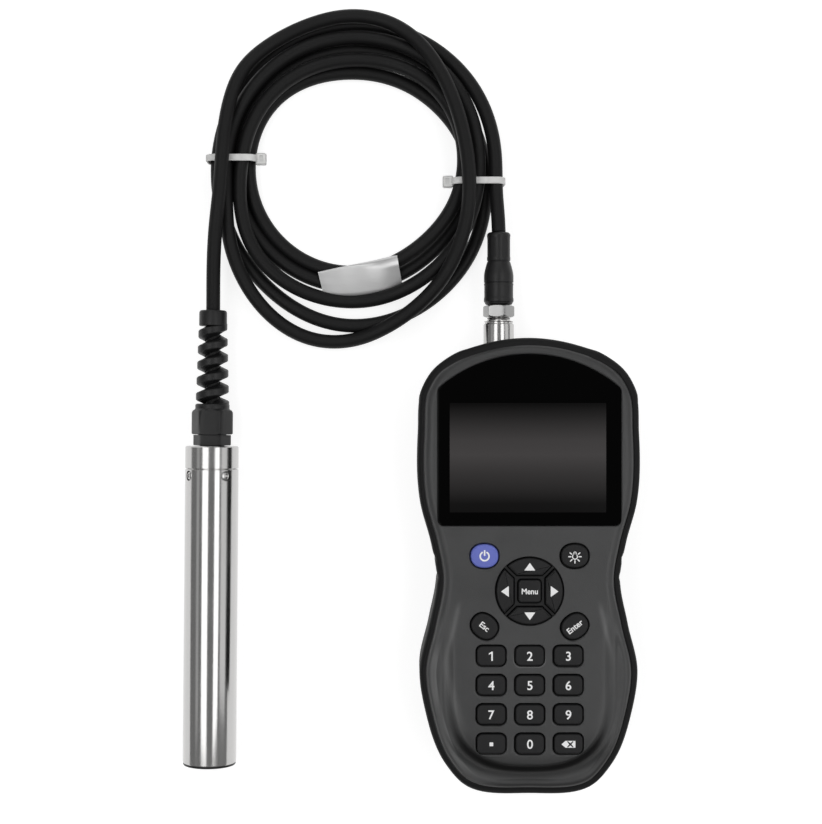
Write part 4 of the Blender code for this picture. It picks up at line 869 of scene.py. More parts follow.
def window_finish(base):
    """Black glass with faint smears."""
    made, tree, shader = new_finish("window_black", base, 0.07, Specular_IOR_Level=0.05)
    vary_roughness(tree, object_noise(tree, 28.0, 3.0), shader, 0.05, 0.10)
    return made


def make_finishes():
    """All finishes, by name."""
    tone = bpy.context.scene.probe_finish
    grain = bpy.context.scene.probe_meter.grain_size
    return {
        # The case and the bumper get painted shade and painted highlights from their meshes' attributes
        "case": paint_shade_and_highlights(moulded("case_plastic", tone.case, 0.44, grain, 0.00006, 0.10)),
        "bumper": paint_shade_and_highlights(moulded("bumper_rubber", tone.bumper, 0.58, 0.0006, 0.00004, shine=0.15)),
        "key": moulded("key_rubber", tone.key, 0.50, 0.0004, 0.00003, shine=0.28),
        "power": moulded("power_key_rubber", tone.power, 0.48, 0.0004, 0.00002, 0.05),
        "legend": moulded("legend_ink", tone.legend, 0.50, 0.0003, 0.00001, 0.03),
        "window": window_finish(tone.window),
        "view": painted_reflection_display(tone.view),
        "steel": turned_steel("barrel_steel", tone.steel, 0.15, (0.4, 14.0, 0.4)),
        "nut_steel": turned_steel("connector_steel", tone.nut, 0.27, (0.4, 9.0, 0.4)),
        "nylon": moulded("gland_nylon", tone.nylon, 0.42, 0.0007, 0.00005, shine=0.35),
        "jacket": moulded("cable_jacket", tone.jacket, 0.52, 0.0009, 0.00004, 0.10, shine=0.20),
        "tie": nylon_tie(tone.tie),
        "foil": foil_finish(tone.foil),
        "board": moulded("circuit_board", tone.board, 0.45, 0.0012, 0.00004, 0.25),
        "wrap": moulded("battery_wrap", tone.wrap, 0.35, 0.002, 0.00004, 0.08),
    }


def finish(name):
    """One of the finishes, made on first use."""
    if not FINISHES:
        FINISHES.update(make_finishes())
    return FINISHES[name]


# Stage

class PROBE_OT_stage(bpy.types.Operator):
    """Set the camera, the pale floor and the soft lights"""

    bl_idname = "water_probe.stage"
    bl_label = "Stage"

    def execute(self, context):
        scene = context.scene
        camera = bpy.data.cameras.new("view_from_above")
        camera.sensor_fit = "VERTICAL"
        camera.sensor_height = CAMERA_SENSOR
        camera.lens = CAMERA_LENS
        scene.camera = add_object("view_from_above", camera)
        scene.camera.location = CAMERA_PLACE
        scene.view_settings.view_transform = "Standard"

        outline = rectangle(FLOOR_SIZE, FLOOR_SIZE, FLOOR_CORNER)
        floor = loft("floor", stack(outline, ((0, FLOOR_BOTTOM), (0, FLOOR_TOP))), self.floor_finish())
        for light in LIGHTS:
            self.add_light(*light)
        self.set_world(scene)
        return {"FINISHED"}

    def floor_finish(self):
        """Pale floor that looks white to the camera and to shiny pieces, and still takes a shadow."""
        made, tree, shader = new_finish("pale_floor", (FLOOR_GREY, FLOOR_GREY, FLOOR_GREY), 0.8)
        path = add_node(tree, "LightPath")
        seen, seen_glass, amount = [add_node(tree, "Math") for _ in range(3)]
        seen.operation = "MAXIMUM"
        seen_glass.operation = "MAXIMUM"
        amount.operation = "MULTIPLY"
        amount.inputs[1].default_value = FLOOR_GLOW
        glow = add_node(tree, "Emission")
        both = add_node(tree, "AddShader")
        wire(tree, (path, "Is Camera Ray", seen, 0), (path, "Is Glossy Ray", seen, 1),
             (seen, "Value", seen_glass, 0), (path, "Is Transmission Ray", seen_glass, 1),
             (seen_glass, "Value", amount, 0), (amount, "Value", glow, "Strength"),
             (shader, "BSDF", both, 0), (glow, "Emission", both, 1),
             (both, "Shader", tree.nodes["Material Output"], "Surface"))
        return made

    def add_light(self, name, place, turn, width, length, power):
        """Soft light that shines straight down, or towards the object by turns about X and Y in degrees."""
        lamp = bpy.data.lights.new(name, "AREA")
        lamp.shape = "RECTANGLE"
        lamp.size = width
        lamp.size_y = length
        lamp.energy = power
        holder = add_object(name, lamp)
        holder.location = place
        holder.rotation_euler = (math.radians(turn[0]), math.radians(turn[1]), 0)

    def set_world(self, scene):
        """Even grey surroundings, white where the camera sees past the floor."""
        scene.world = bpy.data.worlds.new("surroundings")
        scene.world.use_nodes = True
        tree = scene.world.node_tree
        path = add_node(tree, "LightPath")
        mix = colour_mix(tree, A=(WORLD_GREY, WORLD_GREY, WORLD_GREY, 1.0), B=(1.0, 1.0, 1.0, 1.0))
        wire(tree, (path, "Is Camera Ray", mix, "Factor"), (mix, "Result", tree.nodes["Background"], "Color"))


# Cable

def coil_out(turn):
    """How far outside the middle line the cable lies, on a smooth line through the lanes."""
    last = len(COIL_LANES) - 1
    place = min(max(LANES_A_TURN * turn, 0.0), last)
    at = min(int(place), last - 1)
    t = place - at
    before, start, end, after = [COIL_LANES[min(max(at + i, 0), last)] for i in (-1, 0, 1, 2)]
    step = end - start
    slope_in = (end - before) / 2
    slope_out = (after - start) / 2
    curve = 3 * step - 2 * slope_in - slope_out
    return start + t * (slope_in + t * (curve + t * (slope_in + slope_out - 2 * step)))


def coil_layer(turn, from_tie):
    """How high the first turns lie on the later ones: one cable up at the ties, beside them below."""
    if turn >= COIL_UPPER_TURNS:
        return 0.0
    settled = COIL_LAYER_TOP if math.sin(2 * math.pi * turn) > 0 else 0.0
    return COIL_LAYER + (settled - COIL_LAYER) * ease(COIL_SETTLE, 1, from_tie)


def coil_point(turn):
    """Point of the tied coil. Turn 0 is at the left tie, and the turns run clockwise from above."""
    angle = 2 * math.pi * turn
    sine, cosine = math.sin(angle), math.cos(angle)
    out = coil_out(turn)
    x = COIL_X - (COIL_HALF_WIDTH + out) * cosine
    y = COIL_Y + (COIL_HALF_HEIGHT + out) * sine

    low = CABLE_RADIUS + FLOOR_GAP + COIL_TIE_LIFT * cosine ** 8 + COIL_LABEL_LIFT * max(0.0, -sine) ** 4
    from_tie = 4 * abs((turn + 0.25) % 0.5 - 0.25)
    rise = COIL_EXIT_RISE * ease(COIL_TURNS - 0.25, COIL_TURNS, turn)
    return Vector((x, y, low + coil_layer(turn, from_tie) + rise))


def coil_direction(turn):
    """Direction of travel along the coil."""
    small = 0.002
    return (coil_point(turn + small) - coil_point(turn - small)).normalized()


def cable_route(spacing):
    """Middle line of the whole cable, from inside the gland to the plug."""
    inside = [PROBE_AT @ Vector((0, 0, z)) for z in
              (CABLE_START, (CABLE_START + GLAND_END) / 2, GLAND_END, GLAND_END + CABLE_STEP)]
    arrive = coil_direction(0)
    meet = coil_point(0) - arrive * (CABLE_STEP + GAP)
    route = inside + [Vector(p) for p in PROBE_LEAD_ROUTE] + [meet - arrive * CABLE_STEP, meet]
    line = smooth_curve(route, ROUTE_STEPS)

    steps = round(COIL_TURNS * COIL_STEPS)
    line += [coil_point(COIL_TURNS * i / steps) for i in range(steps + 1)]

    leave = coil_direction(COIL_TURNS)
    start = line[-1] + leave * CABLE_STEP
    plug_end = Vector((CONNECTOR_PLACE.x, METER_PLACE.y + PLUG_TAIL_Y, CONNECTOR_PLACE.z))
    back = Vector((0, 1, 0))
    lead = [start, start + leave * CABLE_STEP / 2, plug_end + back * CABLE_STEP, plug_end]
    line += smooth_curve(lead, ROUTE_STEPS)

    line = evenly(line, spacing)
    for _ in range(ROUTE_PASSES):
        line = [line[0]] + [
            before * 0.25 + here * 0.5 + after * 0.25
            for before, here, after in zip(line, line[1:], line[2:])
        ] + [line[-1]]
    return line


class PROBE_OT_cable(bpy.types.Operator):
    """Lay the cable from the gland once round on top, through the tied coil and into the plug"""

    bl_idname = "water_probe.cable"
    bl_label = "Cable"

    def execute(self, context):
        settings = context.scene.probe_cable
        line = cable_route(settings.spacing)
        curve = bpy.data.curves.new("probe_cable", "CURVE")
        curve.dimensions = "3D"
        curve.bevel_depth = JACKET_RADIUS
        curve.bevel_resolution = settings.sides - 2
        curve.use_fill_caps = True
        spline = curve.splines.new("POLY")
        spline.points.add(len(line) - 1)
        for target, point in zip(spline.points, line):
            target.co = (*point, 1.0)
        spline.use_smooth = True
        curve.materials.append(finish("jacket"))
        made = add_object("probe_cable", curve)
        settle(made, "probe_lead", "cable_jacket", "cable_lead_probe", "cable_coil", "cable_lead_meter")
        return {"FINISHED"}


def tie_strands(turns, y):
    """Box round the strands at a tie: lowest and highest X and Z of their middles."""
    steps = range(-TIE_SAMPLES, TIE_SAMPLES + 1)
    near = [coil_point(turn + step / TIE_SAMPLES_A_TURN) for turn in turns for step in steps]
    near = [p for p in near if abs(p.y - y) < TIE_REACH]
    return min(p.x for p in near), max(p.x for p in near), min(p.z for p in near), max(p.z for p in near)


class PROBE_OT_ties(bpy.types.Operator):
    """Pull a nylon tie round the strands at either side of the coil"""

    bl_idname = "water_probe.ties"
    bl_label = "Cable ties"

    def execute(self, context):
        self.add_tie("left", LEFT_TIE_Y, (0, 1, 2, 3, 4), 1)
        self.add_tie("right", RIGHT_TIE_Y, (0.5, 1.5, 2.5, 3.5, 4.5), -1)
        return {"FINISHED"}

    def add_tie(self, side, y, turns, inward):
        """Strap with rounded edges, and the head that locks it on the inner side."""
        settings = bpy.context.scene.probe_cable
        thickness = settings.tie_thickness
        left, right, bottom, top = tie_strands(turns, y)
        room = CABLE_RADIUS + GAP
        width = right - left + 2 * room + TIE_SLACK
        inside = rectangle(width, top - bottom + 2 * room, TIE_CORNER, 10)
        inside = shifted(inside, (left + right) / 2, (bottom + top) / 2)
        edge = thickness * 0.3
        half = settings.tie_width / 2
        section = ((0, -half + edge), (edge, -half), (thickness - edge, -half), (thickness, -half + edge),
                   (thickness, half - edge), (thickness - edge, half), (edge, half), (0, half - edge))

        def upright(outline, across):
            return [Vector((p.x, y + across, p.y)) for p in outline]

        rings = [upright(offset(inside, out), across) for out, across in section]
        strap = loft(f"{side}_tie_strap", rings, finish("tie"), looped=True)

        wall = (right if inward > 0 else left) + inward * (room + TIE_SLACK / 2 + thickness * 0.25)
        block = rectangle(TIE_HEAD_DEPTH, TIE_HEAD_HEIGHT, 0.0009, 5)
        block = shifted(block, wall + inward * TIE_HEAD_DEPTH / 2, TIE_HEAD_Z)
        small = offset(block, -TIE_HEAD_BEVEL)
        half = TIE_HEAD_WIDTH / 2
        rings = [upright(small, -half), upright(block, TIE_HEAD_BEVEL - half),
                 upright(block, half - TIE_HEAD_BEVEL), upright(small, half)]
        bm = bmesh.new()
        add_solid(bm, rings)
        combine(strap, [make_object("tie_head", bm, [])], "UNION")

        slit = shifted(rectangle(0.0016, 0.0030, 0.0003, 2), wall + inward * TIE_HEAD_DEPTH * 0.55, y)
        slit_low = TIE_HEAD_Z + TIE_HEAD_HEIGHT / 2 - 0.0008
        cut(strap, [stack(slit, ((0, slit_low), (0, TIE_HEAD_Z + TIE_HEAD_HEIGHT)))])
        settle(strap, "probe_lead", "natural_nylon", f"{side}_cable_tie")


class PROBE_OT_label(bpy.types.Operator):
    """Fold the bare foil label round the inner strands, with its left end lying on them"""

    bl_idname = "water_probe.label"
    bl_label = "Foil label"

    def execute(self, context):
        wall = context.scene.probe_cable.label_wall
        stations = 40
        first, last = LABEL_INNER_EDGE
        start, bend, finish_at = LABEL_OUTER_EDGE
        along = (last + finish_at - first - start).normalized()
        rings_out, rings_in = [], []
        for station in range(stations + 1):
            t = station / stations
            inner_edge = first.lerp(last, t)
            outer_edge = start.lerp(bend, t).lerp(bend.lerp(finish_at, t), t)
            across = (inner_edge - outer_edge).normalized()
            loose = ease(0.20, 0.75, t)
            outer_radius = JACKET_RADIUS + LABEL_SLACK
            inner_radius = outer_radius + (LABEL_FOLD - outer_radius) * loose
            turn = LABEL_START + (LABEL_END - LABEL_START) * t
            strand = coil_point(2 + turn).z
            over = strand + JACKET_RADIUS + LABEL_SLACK / 2 + inner_radius
            lift = coil_point(1 + turn).z * (1 - loose) + over * loose + LABEL_SLACK
            inner = inner_edge - across * inner_radius + Vector((0, 0, lift))
            outer = outer_edge + across * outer_radius + Vector((0, 0, strand))
            rings_in.append(self.fold(along, inner, inner_radius - wall, outer, outer_radius - wall))
            rings_out.append(self.fold(along, inner, inner_radius, outer, outer_radius))
        sleeve = loft("foil_sleeve", rings_out + list(reversed(rings_in)), finish("foil"), looped=True)
        settle(sleeve, "probe_lead", "silver_foil", "cable_label")
        return {"FINISHED"}

    def fold(self, along, inner, inner_radius, outer, outer_radius):
        """Ring across the label: half a turn about each of its two edges' middles."""
        side = (inner - outer).normalized()
        up = along.cross(side)
        if up.z < 0:
            up = -up
        arc_steps = 14
        ring = []
        for middle, reach in ((inner, inner_radius), (outer, -outer_radius)):
            for step in range(arc_steps + 1):
                angle = math.pi * step / arc_steps
                ring.append(middle + (side * math.sin(angle) + up * math.cos(angle)) * reach)
        return ring


# Connector

class PROBE_OT_connector(bpy.types.Operator):
    """Turn the plug's grip, the hexagon nut and the steel socket"""

    bl_idname = "water_probe.connector"
    bl_label = "Connector"

    def execute(self, context):
        self.add_grip()
        self.add_nut()
        self.add_socket()
        return {"FINISHED"}

    def add_grip(self):
        """Moulded grip: wide front with a lip and grooves, a shoulder and a narrower tail with six flats."""
        grip = loft("plug_grip", turned_rings(GRIP_PROFILE), finish("nylon"), CONNECTOR_AT)
        flat = shifted(rectangle(0.0040, 0.0016, 0.0004, 3), 0, 0.00605)
        flats = []
        for i in range(6):
            turned = spun(flat, math.pi / 3 * i + math.pi / 6)
            flats.append([level(turned, GRIP_FLAT_LOW), level(turned, GRIP_FLAT_TOP)])
        cut(grip, flats, CONNECTOR_AT)
        settle(grip, "probe_lead", "black_nylon", "plug_body")

    def add_nut(self):
        """Hexagon coupling nut with turned chamfers on its corners."""
        low, top = NUT_LOW, NUT_TOP
        shoulder = top - 0.00075
        rings = hex_rings(NUT_CORNER, (
            ("round", 0.0059, low), ("round", 0.00615, low), ("hex", 0.00665, low + 0.0001),
            ("hex", 0.00705, low + NUT_CHAMFER * 0.5), ("hex", NUT_CORNER * 0.99, low + NUT_CHAMFER),
            ("hex", NUT_CORNER * 0.99, top - NUT_CHAMFER), ("hex", 0.00705, top - NUT_CHAMFER * 0.5),
            ("hex", 0.00665, top - 0.0001), ("round", 0.0060, top), ("round", 0.00395, top),
            ("round", 0.00395, shoulder), ("round", 0.0059, shoulder),
        ))
        place = CONNECTOR_AT @ Matrix.Rotation(NUT_TURN, 4, "Z")
        nut = loft("coupling_hex", rings, finish("nut_steel"), place, looped=True, degrees=20)
        settle(nut, "nut", "stainless_steel", "coupling_nut")

    def add_socket(self):
        """Steel sleeve: a plain barrel with a turned waist under a threaded neck."""
        profile = list(SOCKET_PROFILE)
        z = THREAD_START
        while z < THREAD_END:
            profile += [(THREAD_CREST, z), (THREAD_ROOT, z + THREAD_PITCH * 0.5)]
            z += THREAD_PITCH
        profile += [(0.0052, 0.1194), (0.00445, 0.1194), (0.00445, 0.1080)]
        sleeve = loft("socket_sleeve", turned_rings(profile), finish("steel"), CONNECTOR_AT)
        settle(sleeve, "meter", "stainless_steel", "probe_socket")


# Probe and gland

class PROBE_OT_gland(bpy.types.Operator):
    """Build the cable gland with its spiral bend relief"""

    bl_idname = "water_probe.gland"
    bl_label = "Cable gland"

    def execute(self, context):
        settings = context.scene.probe_barrel
        base = settings.length + GAP
        hex_top = base + GLAND_HEX_HEIGHT
        neck = hex_top + GLAND_NECK
        tail = base - GLAND_TAIL
        body = loft("gland_hex_body", hex_rings(GLAND_HEX_CORNER, (
            ("round", GLAND_BORE, tail), ("round", 0.0057, tail), ("round", 0.0057, base),
            ("hex", 0.0086, base), ("hex", 0.00885, base + 0.0003), ("hex", 0.00885, hex_top),
            ("round", 0.0066, hex_top), ("round", 0.0066, neck), ("round", GLAND_BORE, neck),
        )), finish("nylon"), PROBE_AT, looped=True, degrees=20)
        settle(body, "probe_lead", "black_nylon", "gland_body")

        low = hex_top + GAP
        top = low + GLAND_NUT_HEIGHT
        collar = top + GLAND_COLLAR
        nut = loft("gland_relief_nut", hex_rings(GLAND_NUT_CORNER, (
            ("round", 0.00695, low), ("hex", 0.0091, low), ("hex", 0.0097, low + 0.0004),
            ("hex", 0.0097, top - 0.0012), ("hex", 0.0091, top - 0.0002), ("round", 0.0083, top + 0.0003),
            ("round", 0.0080, top + 0.0007), ("round", 0.0080, collar - 0.0007),
            ("round", 0.0077, collar - 0.0002), ("round", 0.0072, collar), ("round", GLAND_BORE, collar),
            ("round", GLAND_BORE, collar - 0.0063), ("round", 0.00695, collar - 0.0065),
        )), finish("nylon"), looped=True, degrees=20)
        self.add_relief(nut, settings, collar)
        nut.data.transform(PROBE_AT)
        settle(nut, "probe_lead", "black_nylon", "gland_nut")
        return {"FINISHED"}

    def add_relief(self, nut, settings, collar):
        """Join the spiral strip and its end cap to the nut."""
        low = collar + RELIEF_CAP_LOW
        top = collar + RELIEF_CAP_TOP
        cap_rings = turned_rings((
            (GLAND_BORE, low), (0.0061, low), (0.0065, low + 0.0003), (0.0065, top - 0.0011),
            (0.0062, top - 0.0003), (0.0058, top), (0.0042, top), (GLAND_BORE, top - 0.0006)))
        half = settings.relief_strip / 2
        start, end = collar - half + GAP, low + half + GAP
        steps = round(settings.relief_turns * RELIEF_STEPS_A_TURN)
        strip_rings = []
        for step in range(steps + 1):
            share = step / steps
            angle = 2 * math.pi * (settings.relief_turns * share - RELIEF_START_TURN)
            outward = Vector((math.cos(angle), math.sin(angle), 0))
            rim = RELIEF_START_RIM + (RELIEF_END_RIM - RELIEF_START_RIM) * share
            z = start + (end - start) * share
            lower = ((0.0037, -half * 1.35), (rim - 0.0012, -half * 0.88), (rim - 0.0003, -half * 0.72),
                     (rim, -half * 0.55))
            section = lower + tuple((radius, -rise) for radius, rise in reversed(lower))
            strip_rings.append([outward * radius + Vector((0, 0, z + rise)) for radius, rise in section])
        parts = []
        for name, rings, looped in (("relief_cap", cap_rings, True), ("relief_strip", strip_rings, False)):
            bm = bmesh.new()
            add_solid(bm, rings, looped)
            parts.append(make_object(name, bm, []))
        combine(nut, parts, "UNION", 28)


class PROBE_OT_barrel(bpy.types.Operator):
    """Turn the steel barrel and its head, and set the radial screws and the measuring window"""

    bl_idname = "water_probe.barrel"
    bl_label = "Probe barrel"

    def execute(self, context):
        settings = context.scene.probe_barrel
        outer = PROBE_RADIUS
        inner = outer - PROBE_WALL
        fine = PROBE_FINE_EDGE
        length = settings.length
        seam = length - settings.head_length
        sides = 144
        barrel = loft("probe_barrel", turned_rings((
            (inner, 0.0015), (inner + 0.0004, 0.0011), (outer - 0.0005, 0.0011), (outer - 0.0001, 0.0012),
            (outer, 0.0015), (outer, seam - GAP - fine), (outer - fine, seam - GAP), (inner, seam - GAP),
        ), sides), finish("steel"), looped=True)
        head = loft("probe_head_cap", turned_rings((
            (HEAD_BORE, seam - HEAD_SPIGOT), (inner - GAP, seam - HEAD_SPIGOT), (inner - GAP, seam),
            (outer - fine, seam), (outer, seam + fine), (outer, length - 0.0005), (outer - 0.0005, length),
            (HEAD_BORE, length),
        ), sides), finish("steel"), PROBE_AT, looped=True)

        seats, placements = [], []
        for degrees in BARREL_SCREW_ANGLES:
            turn = Euler((math.pi / 2, 0, math.radians(degrees))).to_matrix().to_4x4()
            at = Matrix.Translation((0, 0, length - BARREL_SCREW_DROP)) @ turn
            placements.append(PROBE_AT @ at)
            seat = ((BARREL_SCREW_SEAT, inner - 0.001), (BARREL_SCREW_SEAT, outer + 0.001))
            seats.append([[at @ p for p in ring] for ring in turned_rings(seat, SCREW_SIDES)])
        cut(barrel, seats)
        barrel.data.transform(PROBE_AT)
        settle(barrel, "probe_lead", "stainless_steel", "probe_tube")
        settle(head, "probe_lead", "stainless_steel", "probe_head")

        screws = repeat("barrel_screws", screw_shape(*BARREL_SCREW, outer), placements, finish("steel"))
        settle(screws, "probe_lead", "stainless_steel", *[f"probe_screw_{i}" for i in range(1, 5)])

        window = loft("measuring_window", turned_rings((
            (0.0030, 0.0012), (0.0062, 0.0010), (0.0066, 0.0002), (outer - 0.0010, 0.0),
            (outer - 0.0004, 0.0001), (outer - 0.0002, 0.0004), (outer - 0.0002, 0.0010),
            (inner - GAP, 0.0010), (inner - GAP, 0.0040), (0.0060, 0.0040),
        ), 96), finish("nylon"), PROBE_AT)
        settle(window, "probe_lead", "black_nylon", "sensor_window")
        return {"FINISHED"}


def screw_shape(head_radius, head, radius, length, top):
    """Screw with a domed head and a cross recess, pointing down from a top height along Z."""
    dome = ((1.0, -1.0), (1.0, -0.55), (0.94, -0.32), (0.74, -0.10), (0.42, 0.05), (0.14, 0.10))
    profile = [(radius, top - length), (radius, top - head)]
    profile += [(head_radius * across, top + head * rise) for across, rise in dome]
    screw = loft("screw_shape", turned_rings(profile, SCREW_SIDES), None)
    arm = head_radius * 0.62
    width = head_radius * 0.24
    corner = [Vector((-arm, -width)), Vector((-width, -width)), Vector((-width, -arm))]
    cross = [p for quarter in range(4) for p in spun(corner, quarter * math.pi / 2)]
    cut(screw, [[level([p * 0.7 for p in cross], top - head * 0.55), level(cross, top + head)]])
    return screw


# Meter shells

PLATEAU_POWER = 2.7
# Where the painted shade and painted highlights fade in: towards the left and right sides, and towards the
# top
SIDE_FADE = (0.022, 0.034)
CROWN_FADE = (0.045, 0.095)


def plateau_place(x, y):
    """How far inside the keypad plateau a point lies, and how far towards the plateau's lower end, 0 to 1."""
    across = (abs(x) / PLATEAU_HALF_WIDTH) ** PLATEAU_POWER
    down = (max(0.0, PLATEAU_BEND_Y - y) / (PLATEAU_BEND_Y - PLATEAU_END_Y)) ** PLATEAU_POWER
    inside = (1 - (across + down) ** (1 / PLATEAU_POWER)) * PLATEAU_HALF_WIDTH
    return inside, down / max(across + down, 1e-9)


def front_height(x, y, settings):
    """Height of the front face: the keypad plateau and the scooped valley around it."""
    fade = ease(-0.010, -0.042, y)
    inside, _ = plateau_place(x, y)
    climb = PLATEAU_RISE * min(max((PLATEAU_START_Y - y) / (PLATEAU_START_Y - PLATEAU_END_Y), 0.0), 1.0)
    low = ease(-0.060, -0.086, y)
    top = climb * ease(-0.0022, 0.0008, inside)
    depth = settings.valley_depth * (0.75 + 0.45 * low)
    valley = depth * fade * bump_at(inside, -0.0046 + 0.0008 * low, 0.0034 - 0.0008 * low)
    return FRONT_HEIGHT + top - valley


def surface_height(y):
    """Height of the face that a key stands in."""
    rise = (PLATEAU_START_Y - y) / (PLATEAU_START_Y - PLATEAU_END_Y)
    return FRONT_HEIGHT + PLATEAU_RISE * max(0.0, rise)


def pad_key_outline():
    """Upper key of the direction pad: a quarter of the disc outside the menu key, split by ribs."""
    inner = MENU_SIZE / 2 + PAD_RIB
    lean = PAD_RIB / math.sqrt(2)
    reach = math.acos(lean / math.sqrt(2) / PAD_RADIUS) - math.pi / 4
    corners = [(-(inner - lean), inner, 0.0005), (inner - lean, inner, 0.0005)]
    arc_steps = 24
    for step in range(arc_steps + 1):
        angle = reach * (1 - 2 * step / arc_steps)
        corners.append((PAD_RADIUS * math.sin(angle), PAD_RADIUS * math.cos(angle), 0))
    return rounded(corners, 4)


def key_table():
    """List each key's node, its outline about its own centre, that centre and its legend."""
    oval = oval_outline(OVAL_WIDTH, OVAL_HEIGHT)
    digit = rectangle(DIGIT_WIDTH, DIGIT_HEIGHT, DIGIT_CORNER)
    keys = [
        ("power", oval, (-OVAL_X, POWER_ROW_Y), "power"),
        ("light", oval, (OVAL_X, POWER_ROW_Y), "lamp"),
        ("escape", spun(oval, -ENTER_TURN), (-OVAL_X, ENTER_ROW_Y), "Esc"),
        ("enter", spun(oval, ENTER_TURN), (OVAL_X, ENTER_ROW_Y), "Enter"),
        ("menu", rectangle(MENU_SIZE, MENU_SIZE, MENU_CORNER), (0.0, PAD_CENTRE_Y), "Menu"),
    ]
    wedge = pad_key_outline()
    middle = (PAD_RADIUS + MENU_SIZE / 2 + PAD_RIB) / 2
    for quarter, name in enumerate(PAD_ARROWS):
        angle = quarter * math.pi / 2
        shape = spun(shifted(wedge, 0, -middle), angle)
        place = (-middle * math.sin(angle), PAD_CENTRE_Y + middle * math.cos(angle))
        keys.append((name, shape, place, name))
    rows = (("1", "2", "3"), ("4", "5", "6"), ("7", "8", "9"), ("point", "0", "delete"))
    for row, legends in enumerate(rows):
        for column, legend in enumerate(legends):
            name = f"digit_{legend}" if legend.isdigit() else legend
            place = ((column - 1) * DIGIT_PITCH_X, DIGIT_FIRST_ROW_Y - row * DIGIT_PITCH_Y)
            keys.append((name, digit, place, legend))
    return keys


def cover_outline():
    """Outline of the battery cover."""
    return shifted(rectangle(COVER_WIDTH, COVER_LENGTH, COVER_CORNER), 0, COVER_Y)


def socket_hole(start):
    """Body of the hole that the socket goes through, from a place along the meter's length."""
    return [[Vector((p.x + CONNECTOR_PLACE.x, y + METER_PLACE.y, p.y + CONNECTOR_PLACE.z))
             for p in circle(SOCKET_HOLE_RADIUS)] for y in (start, SOCKET_HOLE_END)]


